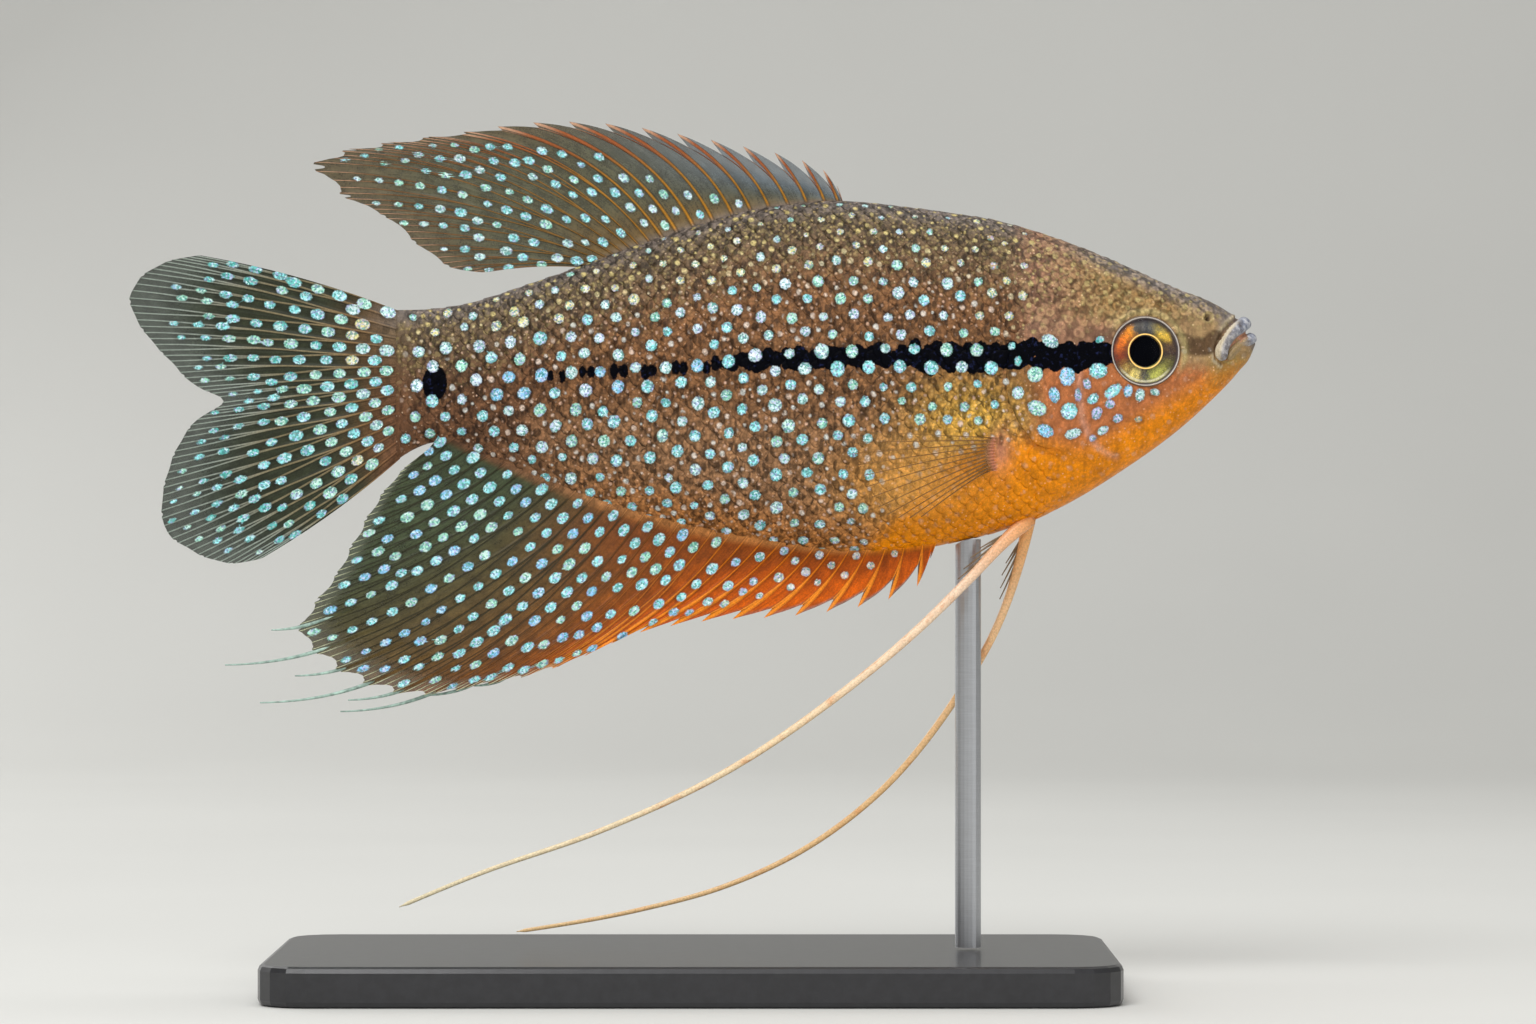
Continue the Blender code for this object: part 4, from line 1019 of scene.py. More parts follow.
def lip_look():
    look = Look("lip")
    grain = look.noise(9.0, 2.0, 0.6)
    stops = ((0.32, 74, 72, 80), (0.5, 134, 140, 156), (0.68, 200, 200, 204))
    colour = look.ramp(look.noise(1.6, 3.0, 0.6), stops)
    colour = look.mix(look.number("warm"), colour, srgb(150, 122, 70))
    colour = look.mix(look.times(look.number("pale"), 0.85), colour, srgb(206, 190, 158))
    return look.finish(
        Base_Color=look.varied(colour, grain, 0.78, 1.18), Roughness=0.36, Normal=look.bump(grain, 0.04),
        Specular_IOR_Level=0.45, Coat_Weight=0.2, Coat_Roughness=0.2,
    )


def fin_look(name, ray_share, spots=True):
    """A membrane with rays and spots. Its attribute clear is how much of it one face lets through."""
    look = Look(name)
    grain = look.noise(6.0, 3.0, 0.6)
    reach = look.vector("fin")
    streak = look.noise(1.0, 3.0, 0.6, look.stretched(reach, (7.0, 0.45, 1.0)))
    place, _, share = look.parts(reach)
    off = look.absolute(look.minus(place, look.math("ROUND", place)))
    fork = look.number("fork")
    first = look.times(fork, look.between(share, *FIRST_FORK, 0.0, FIRST_FORK_WIDTH))
    second = look.times(fork, look.between(share, *SECOND_FORK, 0.0, SECOND_FORK_WIDTH))
    away = look.absolute(look.minus(look.absolute(look.minus(off, first)), second))
    away = look.math("DIVIDE", look.times(away, look.number("gap")), look.number("ray_half"))
    ray = look.math("MAXIMUM", look.between(away, 0.7, 1.3, 1.0, 0.0), look.number("flesh"))
    membrane = look.varied(look.colour("tint"), look.noise(0.7, 3.0, 0.6), 0.76, 1.2)
    membrane = look.varied(membrane, away, 0.8, 1.0, 1.1, 2.2)
    root = look.times(look.number("body"), look.between(look.blotches()[1], 0.5, 0.8))
    membrane = look.shaded(membrane, look.times(root, 0.62), 0.4)
    membrane = look.varied(look.varied(membrane, grain, 0.78, 1.22), streak, 0.75, 1.22)
    ray_tone = look.varied(look.colour("ray_tint"), grain, 0.8, 1.2)
    # Painted highlight: each ray is lighter along its crest and a little darker at its sides.
    ray_tone = look.varied(ray_tone, away, 1.2, 0.9, 0.0, 0.8)
    colour = look.mix(look.times(ray, ray_share), membrane, ray_tone)
    alpha = look.minus(1.0, look.times(look.number("clear"), look.minus(1.0, ray)))
    if spots:
        edge = look.add(look.number("spot"), look.centred(look.noise(4.0, 2.0, 0.6), 0.22))
        spot = look.between(edge, -0.05, 0.07)
        colour = look.shaded(colour, look.times(look.between(edge, -0.35, 0.0), 0.4), 0.35)
        colour = look.mix(spot, colour, foil(look, look.colour("spot_tint"), look.cells(FLECK_CELLS)))
        alpha = look.math("MAXIMUM", alpha, spot)
    bands = look.noise(1.0, 1.0, 0.5, look.stretched(reach, (0.0, 3.2, 0.0)))
    height = look.times(look.add(look.times(bands, 0.5), 1.0), ray)
    height = look.add(look.times(grain, 0.4), height)
    return look.finish(
        Base_Color=colour, Roughness=0.42, Alpha=alpha, Normal=look.bump(height, 0.05),
        Specular_IOR_Level=0.22,
    )


# The skin.


# How many steps the skin has from belly to back on each side.
SKIN_AROUND = 124
# How far before and behind the gill cover's edge the skin's rings bend to follow it.
FOLLOW_REACH = 8.0
# The relief of the head starts here, and its pearls stand out from here on.
RELIEF_START, HEAD_START = 26.0, 31.0


def skin_columns():
    """Where the skin's rings stand along the body."""
    body = np.linspace(TAIL_END, GILL_EDGE_X - 0.3, 206)
    edge = [GILL_EDGE_X - 0.14, GILL_EDGE_X - 0.04, GILL_EDGE_X + 0.04, GILL_EDGE_X + 0.14]
    head = np.linspace(GILL_EDGE_X + 0.3, 52.0, 84)
    snout = SNOUT_END - 4.2 * (1 - np.sin(np.linspace(0.02, math.pi / 2, 26)))
    return np.concatenate([body, edge, head, snout])


def head_relief(column, x, z):
    """How far the head's surface stands out from the plain form, by column place and point."""
    cover = soft_step(z, 53.2, 55.0) * (1 - soft_step(z, 65.4, 67.2))
    lift = GILL_LIFT * soft_step(column, GILL_EDGE_X - 0.04, GILL_EDGE_X + 0.05)
    lift = lift * (1 - soft_step(column, GILL_EDGE_X + 1.0, GILL_EDGE_X + 8.0)) * cover
    lift = lift - 0.12 * bell(column - GILL_EDGE_X + 0.5, 0.5) * cover
    for depth, width, path in (
        (0.16, 0.3, PREOPERCLE), (0.1, 0.25, GILL_SEAM), *[(0.14, 0.25, fold) for fold in THROAT_FOLDS],
    ):
        lift = lift - depth * bell(line_distance(x, z, path), width)
    lift = lift * soft_step(z - size_at(BELLY_LINE, x), 0.3, 2.0)
    for rise, width, path in (
        (-0.22, 0.16, JAW_FOLD), (0.16, 0.17, MAXILLA), (-0.14, 0.35, CHEEK_FOLD), (-0.4, 0.3, MOUTH_SLIT),
        (-0.2, 0.32, PAD_FOLD),
    ):
        lift = lift + rise * bell(line_distance(x, z, path), width)
    nose = point_distance(x, z, NOSTRIL)
    lift = lift + 0.16 * bell(nose - 0.52, 0.15) - 0.6 * bell(nose, 0.27)
    lift = lift - 0.2 * bell(point_distance(x, z, REAR_NOSTRIL), 0.2)
    lift = lift + 0.45 * bell(pad_distance(x, z), 1.9)
    around = point_distance(x, z, EYE)
    lift = lift + 0.16 * bell(around - LID_RADIUS, 0.28)
    # A hollow for the eye.
    return lift * soft_step(around, 3.1, 3.5) - 1.6 * (1 - soft_step(around, 2.9, 3.4))


def make_skin(look):
    """One closed skin over the head, the gill covers, the trunk and the tail stalk."""
    columns = skin_columns()
    angles = np.linspace(-math.pi / 2, math.pi / 2, 721)
    turns = []
    for x in columns:
        run = running_length(np.stack(body_yz(x, angles), axis=1))
        turns.append(np.interp(np.linspace(0, run[-1], SKIN_AROUND + 1), run, angles))
    turns = np.array(turns)
    x = np.repeat(columns[:, None], SKIN_AROUND + 1, axis=1)
    _, z = body_yz(x, turns)
    reach = (columns[:, None] - GILL_EDGE_X) / FOLLOW_REACH
    follow = np.where(np.abs(reach) < 1, (1 - reach**2) ** 2, 0.0)
    x = x + (gill_edge_x(z) - GILL_EDGE_X) * follow
    y, z = body_yz(x, turns)
    # The right side from belly to back, then the left side down again.
    right, left = np.stack([x, -y, z], axis=-1), np.stack([x, y, z], axis=-1)
    full = np.concatenate([right, left[:, -2:0:-1]], axis=1)
    u, z = full[..., 0], full[..., 2]
    v = FLANK.v_of(u, np.concatenate([turns, turns[:, -2:0:-1]], axis=1))
    column = np.repeat(columns[:, None], full.shape[1], axis=1)
    lift = np.where(u > RELIEF_START, head_relief(column, u, z), 0.0)
    knobs = np.cos(math.pi * (u - LATTICE_ORIGIN[0]) / (SCALE_PITCH / 2))
    knobs = knobs * np.cos(math.pi * (v - LATTICE_ORIGIN[1]) / SCALE_ROW)
    crown = soft_step(u, 33.0, 37.0) * soft_step(z, 65.6, 67.4)
    lift = lift + 0.07 * knobs * crown * (1 - soft_step(u, 50.0, 53.0)) * (lift > -0.2)
    head = u > HEAD_START
    pearls = np.zeros_like(lift)
    pearls[head] = spot_field(np.stack([u[head], v[head]], axis=1), PEARLS[RIGHT])[0]
    lift = lift + 0.06 * soft_step(pearls, -0.05, 0.3) * head * (lift > -0.2)
    points = (full + grid_normals(full) * lift[..., None]).reshape(-1, 3)
    rings, count = u.shape
    skin = piece("body_skin", points, tube_faces(rings, count), look, "flank_skin")
    ring, place = np.divmod(np.arange(rings * count), count)
    sides = np.where(place <= SKIN_AROUND, RIGHT, LEFT)
    paint(skin.data, u.ravel(), v.ravel(), z.ravel(), sides)
    # The seam's last strip of faces wraps, so the map runs up one side and down the other.
    high = np.where(sides == RIGHT, place, 2 * SKIN_AROUND - place) / SKIN_AROUND
    bake_map(
        skin.data, 0.01 + 0.98 * ring / rings,
        np.where(sides == RIGHT, 0.01 + 0.47 * high, 0.99 - 0.47 * high),
    )
    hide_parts("head", "gill_cover_left", "gill_cover_right", "trunk", "tail_stalk")


# The scales.


SCALE_LENGTH, SCALE_HALF = 2.05, 0.98
SCALE_STEPS, SCALE_ACROSS = 7, 7
# The gill cover has no scales between these heights. Below it they end at the first of these places
# along the body, and above it between the other two.
COVER_LOW, COVER_HIGH = 52.4, 67.0
THROAT_END, CROWN_START, CROWN_END = 36.0, 33.0, 40.0


def has_scale(u, v):
    """Whether a scale goes here: on the flank, and not on the pad, the gill cover or the head."""
    low, high = FLANK.extent(u)
    if v < low + 0.5 or v > high - 0.35 or u < TAIL_END + 1.1:
        return False
    z = float(height_of(u, v))
    if COVER_LOW < z < COVER_HIGH and u > float(gill_edge_x(z)) - 0.55:
        return False
    if math.hypot((u - PECTORAL_PAD[0]) / 1.3, (z - PECTORAL_PAD[1]) / 2.5) < 1.0:
        return False
    if z <= COVER_LOW and u > THROAT_END:
        return False
    beyond = u - CROWN_START
    return not (z >= COVER_HIGH and beyond > 0.0 and (z < 67.6 + beyond * 0.5 or u > CROWN_END))


def make_scales(look):
    """Overlapping plates, rear edges free, on a staggered lattice over both flanks."""
    s, t = np.linspace(0.0, 1.0, SCALE_STEPS), np.linspace(-1.0, 1.0, SCALE_ACROSS)
    s, t = np.meshgrid(s, t, indexing="ij")
    # Rounded behind, a little narrower in front.
    breadth = np.sqrt(np.clip(1 - ((s - 0.42) / 0.6) ** 2, 0.0, 1.0))
    rim = np.clip(np.maximum(np.abs(t) ** 3 * 0.9, soft_step(s, 0.62, 1.0)), 0, 1).ravel()
    count = SCALE_STEPS * SCALE_ACROSS
    grid = np.arange(count).reshape(s.shape)
    border = np.concatenate([grid[:, 0], grid[-1, 1:], grid[-2::-1, -1]])
    # A plate is its top, then a second border below it that closes its edge.
    every = np.concatenate([np.arange(count), border])
    foot = count + np.arange(len(border))
    skirt = np.stack([border[:-1], border[1:], foot[1:], foot[:-1]], axis=1)
    for side, word in SIDES:
        rng = np.random.default_rng(51 + side)
        rows = lattice(SCALE_PITCH, SCALE_ROW, -27.0, 23.0)
        centres = np.array([(u, v) for u, v, _ in rows if has_scale(u, v)])
        top = grid_faces(SCALE_STEPS, SCALE_ACROSS, turned=side == LEFT)
        plate = np.concatenate([top, skirt if side == RIGHT else skirt[:, ::-1]])
        points, flank = [], []
        for u0, v0 in centres:
            low, high = FLANK.extent(u0)
            small = 1.0 - 0.28 * float(soft_step(u0, 34.0, 44.0)) - 0.18 * float(soft_step(-u0, 18.0, 28.0))
            size = small * rng.normal(1.0, 0.03)
            tip = 0.085 * rng.normal(1.0, 0.18) * small * float(soft_step(u0, TAIL_END, TAIL_END + 4.0))
            # The front lies ahead of the centre and the rear edge behind it.
            u = np.clip(u0 + SCALE_LENGTH * size * (0.45 - s), TAIL_END + 0.05, SNOUT_END)
            v = np.clip(v0 + SCALE_HALF * size * t * breadth, low + 0.02, high - 0.02)
            base, normal = FLANK.place(u, v, side)
            height = -0.03 + (0.03 + tip) * s**1.5 + 0.035 * (1 - t**2) * np.sin(math.pi * s)
            points.append((base + normal * height[..., None]).reshape(-1, 3))
            points.append((base + normal * -0.06).reshape(-1, 3)[border])
            flank.append(np.stack([u, v], axis=-1).reshape(-1, 2)[every])
        starts = len(every) * np.arange(len(centres))
        faces = (plate + starts[:, None, None]).reshape(-1, 4)
        made = piece("scales_" + word, np.concatenate(points), faces, look, "flank_skin")
        u, v = np.concatenate(flank).T
        paint(made.data, u, v, body_yz(u, FLANK.turn_of(u, v))[1], side)
        add_numbers(made.data, rim=np.tile(rim[every], len(centres)))
        # Each plate has its own small patch of the map, by the place of its centre.
        map_u = (centres[:, :1] - TAIL_END) / 90.0 + 0.0125 * (0.45 - s.ravel()[every])
        map_v = (centres[:, 1:] + 28.0) / 90.0 + 0.0052 * t.ravel()[every]
        bake_map(made.data, map_u.ravel(), map_v.ravel())
        print("scales", word, len(centres), "plates", 2 * len(faces), "triangles")


# Fins.


# Where the grid has lines in the gap from one ray to the next.
GAP_STEPS = (0.0, 0.018, 0.036, 0.07, 0.12, 0.2, 0.3, 0.42, 0.58, 0.7, 0.8, 0.88, 0.93, 0.964, 0.982)

# Soft rays fork twice: from and to which share of the ray, and how far, as a share of the gap.
FIRST_FORK, SECOND_FORK = (0.15, 0.6), (0.5, 0.95)
FIRST_FORK_WIDTH, SECOND_FORK_WIDTH = 0.25, 0.125


def ray_places(rays):
    """The places of a fin's lines, counted in rays."""
    places = [k + step for k in range(rays - 1) for step in GAP_STEPS]
    return np.array(places + [rays - 1.0])


def even_line(line, rows):
    """The same line with rows points at even distances, and the way along it up to each."""
    run = running_length(line)
    at = np.linspace(0, run[-1], rows)
    return np.stack([np.interp(at, run, column) for column in line.T], axis=1), at


def point_at(line, at, distance):
    """The point of a line at a distance from its start."""
    return np.array([np.interp(distance, at, column) for column in line.T])


def bent(start, bend, end, up):
    """A bent line from start to end, drawn towards bend."""
    return (1 - up) ** 2 * start + 2 * up * (1 - up) * bend + up**2 * end


def ridge_height(places, reach_share, gap_width, branching, ray_half):
    """How much of a ray stands at each point: 1 on a ray's crest. Soft rays fork twice."""
    off = np.abs(places - np.round(places))
    first = FIRST_FORK_WIDTH * soft_step(reach_share, *FIRST_FORK) * branching
    second = SECOND_FORK_WIDTH * soft_step(reach_share, *SECOND_FORK) * branching
    away = np.abs(np.abs(off - first) - second) * gap_width
    return bell(away, np.maximum(ray_half, 0.08))


def point_shape(off, extra, forked):
    """How much of a ray's point stands, off ray gaps beside the ray: thorns, long threads or fringes."""
    thorn = (1 - 2 * off) ** 5
    thread = 0.96 * np.clip(1 - (off / 0.045) ** 2, 0, 1) + 0.04 * (1 - 2 * off) ** 6
    fringe = bell(off - 0.095, 0.045) + bell(off - 0.245, 0.045)
    long = soft_step(extra, 1.5, 4.0)
    short = thorn * (1 - forked) + fringe * forked
    return short * (1 - long) + thread * long


def trailing(ahead, turned_by):
    """The way of a free ray that turns from straight ahead to the rear."""
    return unit(ahead * (1 - turned_by) + np.array(TRAILING_WAY) * turned_by)


def blade(name, middle, normal, half, look, slot, fin, numbers, colours):
    """A closed blade from a grid of points in its middle, half its thickness to each side, with
    attributes that are the same on both faces."""
    count, rows = half.shape
    total = count * rows
    off = normal * half[..., None]
    points = np.concatenate([(middle - off).reshape(-1, 3), (middle + off).reshape(-1, 3)])
    faces = grid_faces(count, rows).tolist() + grid_faces(count, rows, start=total, turned=True).tolist()
    grid = np.arange(total).reshape(count, rows)
    ring = np.concatenate([grid[:, 0], grid[-1, 1:], grid[-2::-1, -1], grid[0, -2:0:-1]])
    faces += np.stack([ring, ring + total, np.roll(ring, -1) + total, np.roll(ring, -1)], axis=1).tolist()
    made = piece(name, points, faces, look, slot)
    add_vector(made.data, "fin", np.tile(fin.reshape(-1, 3), (2, 1)))
    add_numbers(made.data, **{key: np.tile(np.ravel(values), 2) for key, values in numbers.items()})
    add_colours(made.data, **{key: np.tile(values, (2, 1)) for key, values in colours.items()})
    a, b = np.divmod(np.arange(total), rows)
    bake_map(
        made.data, np.tile(0.01 + 0.98 * a / count, 2),
        np.concatenate([0.01 + 0.48 * b / rows, 0.51 + 0.48 * b / rows]),
    )
    return made


def fin_lines(plan, places, fractions, roots, forked):
    """A fin's lines from base to edge as (x, z), the way along each, and how far the membrane goes."""
    ends = plan["edge"](fractions)
    off = np.abs(places - np.round(places))
    extras = np.asarray(plan["extra"], float)[np.round(places).astype(int)]
    dip = size_at(plan["dips"], fractions)
    behind = places - np.floor(places)
    up = np.linspace(0, 1, 40)[:, None]
    lines, reaches, solid_reach = [], [], []
    for k in range(len(places)):
        chord = ends[k] - roots[k]
        # Between spines the edge drops behind each point and rises to the next one.
        saw = (1 - behind[k]) ** 1.5 if behind[k] > 0 else 0.0
        scallop = 1 - (1 - 2 * off[k]) ** 2
        end = roots[k] + chord * (1 - dip[k] * (saw + (scallop - saw) * forked[k]))
        bulge = np.array([-chord[1], chord[0]]) * plan["bulge"](fractions[k])
        line = bent(roots[k], (roots[k] + end) / 2 + bulge, end, up)
        solid_reach.append(running_length(line)[-1])
        length = extras[k] * point_shape(off[k], extras[k], forked[k])
        if length > 0.02:
            ahead = unit(line[-1] - line[-2])
            turning = min(1.0, extras[k] / 6) * length / extras[k]
            steps = np.linspace(0, 1, 14)[1:]
            free = [line[-1] + trailing(ahead, step * turning) * length * step for step in steps]
            line = np.concatenate([line, free])
        line, at = even_line(line, plan["rows"])
        lines.append(line)
        reaches.append(at)
    return np.array(lines), np.array(reaches), np.array(solid_reach)


def make_fin(name, look, slot, node, plan):
    """A fin in the middle plane. In its plan, extra is how far each ray runs past the membrane, and
    sheath is the half thickness and the reach of the scaly skin at its root, and where its look ends."""
    rays = len(plan["extra"])
    places = ray_places(rays)
    fractions = places / (rays - 1)
    roots, forked = plan["root"](fractions), plan["branching"](fractions)
    lines, reaches, solid_reach = fin_lines(plan, places, fractions, roots, forked)
    x, z = lines[..., 0], lines[..., 1]
    run = reaches / solid_reach[:, None]
    share = np.clip(run, 0, 1)
    whole = np.ones_like(share)
    aside = np.gradient(lines, places, axis=0)
    ahead = unit(np.gradient(lines, axis=1))
    width = np.abs(aside[..., 0] * ahead[..., 1] - aside[..., 1] * ahead[..., 0])
    fork, grid = forked[:, None] * whole, places[:, None] * whole
    shade, ray_shade, clear, ray_half = plan["tint"]((fractions[:, None] * whole).ravel(), share.ravel())
    ray_half = np.minimum(ray_half, 0.16 * width.ravel() + 0.02)
    ridge = ridge_height(grid, share, width, fork, ray_half.reshape(share.shape))
    sheath_half, sheath_reach, look_start, look_end = plan["sheath"]
    thin = 1 - 0.6 * share
    sheathed = np.clip(1 - reaches / sheath_reach, 0, 1)
    at_root = body_yz(roots[:, 0], FLANK.turn_of_height(roots[:, 0], roots[:, 1]))[0]
    at_root = np.minimum(sheath_half, np.maximum(at_root - 0.06, 0.1))[:, None]
    half = (0.09 * (0.55 + 0.45 * thin) + 0.15 * ridge * thin) * (1 - 0.9 * sheathed)
    half = half + at_root * sheathed**2
    half = half * (1 - 0.55 * np.clip(3 * np.clip(run - 1, 0, 1), 0, 1))
    half[:, -1] = np.minimum(half[:, -1], 0.05)
    y = plan["sway"](x, reaches)
    y = y + 0.1 * np.sin(math.pi * (places - np.floor(places)))[:, None] * np.sin(math.pi * share)
    depth, colour = spot_field(lines.reshape(-1, 2), plan["spots"](places, lines, reaches, solid_reach))
    body = ground_colour(
        np.clip(x, TAIL_END, SNOUT_END).ravel(),
        np.clip(z, size_at(BELLY_LINE, x) + 1.2, size_at(BACK_LINE, x) - 1.6).ravel(),
    )
    own = soft_step(reaches, look_start, look_end).ravel()
    made = blade(
        name, np.stack([x, y, z], axis=-1), np.array(ACROSS), half, look, slot,
        np.stack([grid, reaches, share], axis=-1),
        {
            "spot": depth, "clear": clear * own, "body": (1 - own) * (1 - soft_step(x.ravel(), 2.0, 10.0)),
            "ray_half": ray_half, "gap": width, "fork": fork,
        },
        {
            "spot_tint": colour, "tint": blend_tones(body, (shade, own)),
            "ray_tint": blend_tones(body * 1.1, (ray_shade, own)),
        },
    )
    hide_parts(node)
    return lines, reaches, solid_reach


SPOT_CHANCE = 0.97


def gap_spots(first, spacing, size, colours, rng, split, limit, apart=1.45):
    """Spots in staggered rows between the rays, in two lanes beyond split, and on the long free rays."""

    def made(places, lines, reaches, solid_reach):
        rows = []
        gaps = int(places[-1])
        for gap in range(gaps):
            for number, lane in enumerate((0.5, 0.27, 0.75)):
                c = int(np.argmin(np.abs(places - gap - lane)))
                line, at = lines[c], reaches[c]
                length = solid_reach[c]
                high = float(size_at(limit, gap / gaps))
                low, high = (first, min(split, high)) if number == 0 else (split * length, high)
                d = low + ((gap + (number > 1)) % 2) * spacing / 2
                while d < min(high * length, length - 0.4):
                    here = d + rng.normal(0, 0.05)
                    x, z = point_at(line, at, here)
                    ahead_x, ahead_z = point_at(line, at, here + 0.5)
                    tilt = math.atan2(ahead_z - z, ahead_x - x)
                    share = here / length
                    half_length, half_width = size(gap / gaps, share)
                    scale = rng.normal(1.0, 0.08)
                    clear = all((x - row[0]) ** 2 + (z - row[1]) ** 2 > apart**2 for row in rows)
                    if rng.random() < SPOT_CHANCE and clear:
                        tint = colours(gap / gaps, share)
                        rows.append((x, z, half_length * scale, half_width * scale, tilt, *tint))
                    d += spacing * (1 + 0.03 * rng.normal())
        for ray in range(gaps + 1):
            k = int(np.argmin(np.abs(places - ray)))
            free = reaches[k][-1] - solid_reach[k]
            if free > 2.0:
                for d in np.arange(solid_reach[k] - 1.0, solid_reach[k] + 0.7 * free, 1.5):
                    x, z = point_at(lines[k], reaches[k], d)
                    rows.append((x, z, 0.42, 0.2, 0.0, *PEARL_COLOURS["cyan"]))
        return np.array(rows)

    return made


def pick(rng, *names):
    """One of four pearl colours by chance."""
    return PEARL_COLOURS[names[int(rng.random() * 4)]]


def make_dorsal(look):
    rng = np.random.default_rng(61)

    def root(f):
        x = DORSAL_BASE[0] + (DORSAL_BASE[1] - DORSAL_BASE[0]) * size_at(DORSAL_SPREAD, f)
        return np.stack([x, size_at(BACK_LINE, x) - 1.0], axis=-1)

    def tint(f, share):
        front = 1 - soft_step(f, 0.2, 0.55)
        membrane = blend_tones(
            tone_for(f, 84, 82, 60), (srgb(116, 88, 40), 1 - soft_step(share, 0.0, 0.3)),
            (srgb(84, 98, 108), 0.9 * front * soft_step(share, 0.15, 0.5)),
            (srgb(104, 86, 60), 0.5 * soft_step(share, 0.6, 0.98) * (1 - front)),
        )
        gold = (1 - soft_step(share, 0.3, 0.8)) * (1 - 0.75 * soft_step(f, 0.4, 0.8))
        red = soft_step(share, 0.35, 0.8) * (1 - 0.75 * soft_step(f, 0.45, 0.8))
        rays = blend_tones(
            tone_for(f, 104, 80, 44), (srgb(180, 124, 40), gold), (srgb(148, 78, 36), red),
            (srgb(190, 152, 124), 0.85 * soft_step(share, 0.84, 1.0)),
        )
        spines = 1 - soft_step(f, 0.48, 0.62)
        ray_half = (0.18 - 0.08 * share) * spines + (0.07 - 0.03 * share) * (1 - spines)
        return membrane, rays, 0.2 + 0.34 * front * soft_step(share, 0.25, 0.7), ray_half

    def size(f, share):
        shrink = 1 - 0.2 * float(soft_step(share, 0.6, 1.0)) - 0.1 * (1 - f)
        return 0.58 * shrink, 0.42 * shrink * (1 - 0.3 * float(soft_step(share, 0.7, 1.0)))

    def colours(*_):
        return pick(rng, "cyan", "cyan", "mint", "pale")

    make_fin("dorsal_fin_membrane", look, "fin", "dorsal_fin", {
        "root": root, "tint": tint, "dips": DORSAL_DIPS, "rows": 56, "sheath": (1.1, 2.4, 0.9, 1.5),
        "edge": lambda f: along(DORSAL_EDGE, size_at(DORSAL_TIPS, f)),
        "bulge": lambda f: -0.05 - 0.02 * f - 0.15 * math.sin(math.pi * min(1.0, 1.1 * f)),
        "extra": [DORSAL_FREE_RAYS.get(ray, DORSAL_POINT) for ray in range(DORSAL_RAYS)],
        "sway": lambda x, reach: 0.0016 * reach**2 * np.sin((x - 10.0) / 9.0),
        "branching": lambda f: soft_step(f, 0.52, 0.66),
        "spots": gap_spots(1.9, 2.1, size, colours, rng, 0.5, DORSAL_SPOT_LIMIT),
    })


def make_anal(look):
    rng = np.random.default_rng(62)

    def root(f):
        x = ANAL_BASE[0] + (ANAL_BASE[1] - ANAL_BASE[0]) * f
        return np.stack([x, size_at(BELLY_LINE, x) + 1.5], axis=-1)

    def tint(f, share):
        front = 1 - soft_step(f, 0.3, 0.66)
        rim = soft_step(share, 0.3, 0.8) * (1 - soft_step(f, 0.38, 0.54))
        dusk = soft_step(f, 0.06, 0.2) * (1 - soft_step(f, 0.55, 0.8))
        pale = soft_step(f, 0.42, 0.52) * soft_step(share, 0.9, 1.0)
        membrane = blend_tones(
            tone_for(f, 62, 72, 46), (srgb(124, 74, 20), 1 - soft_step(f, 0.45, 0.85)),
            (srgb(168, 74, 2), front), (srgb(204, 90, 0), rim),
            (srgb(138, 68, 12), 0.7 * (1 - soft_step(share, 0.1, 0.4)) * dusk),
            (srgb(120, 132, 128), 0.75 * soft_step(share, 0.9, 1.0) * (1 - soft_step(f, 0.1, 0.3))),
        )
        rays = blend_tones(
            tone_for(f, 48, 46, 30), (srgb(222, 120, 18), 1 - soft_step(f, 0.3, 0.66)),
            (srgb(240, 142, 34), rim), (srgb(196, 200, 166), pale),
        )
        spines = 1 - soft_step(f, 0.38, 0.5)
        ray_half = (0.1 + 0.08 * soft_step(share, 0.3, 0.8)) * spines
        ray_half = ray_half + (0.075 - 0.03 * share) * (1 - spines)
        return membrane, rays, 0.02 + 0.12 * (1 - front) + 0.22 * soft_step(share, 0.85, 1.0), ray_half

    def size(f, share):
        grow = float(soft_step(f, 0.12, 0.5))
        slim = 1 - 0.3 * float(soft_step(share, 0.55, 1.0)) * grow
        return 0.42 + 0.22 * grow, (0.4 + 0.06 * grow) * slim

    def colours(f, _):
        warm = 0.9 * (1 - float(soft_step(f, 0.12, 0.4)))
        return pick(rng, "cyan", "cyan", "blue", "mint") * (1 - warm) + PEARL_COLOURS["warm"] * warm

    points = {ray: ANAL_SPINE_POINT for ray in range(ANAL_SPINES)} | ANAL_FREE_RAYS
    laid_out = make_fin("anal_fin_membrane", look, "anal_fin", "anal_fin", {
        "root": root, "tint": tint, "dips": ANAL_DIPS, "rows": 72, "sheath": (1.95, 6.0, 0.8, 1.9),
        "edge": lambda f: along(ANAL_EDGE, f),
        "bulge": lambda f: 0.05 + 0.08 * math.sin(math.pi * f),
        "extra": [points.get(ray, SMALL_POINT) for ray in range(ANAL_RAYS)],
        "sway": lambda x, reach: 0.0012 * reach**2 * np.sin((x + 4.0) / 11.0),
        "branching": lambda f: soft_step(f, 0.4, 0.46),
        "spots": gap_spots(1.75, 2.15, size, colours, rng, 0.62, ANAL_SPOT_LIMIT),
    })
    make_filaments(*laid_out)


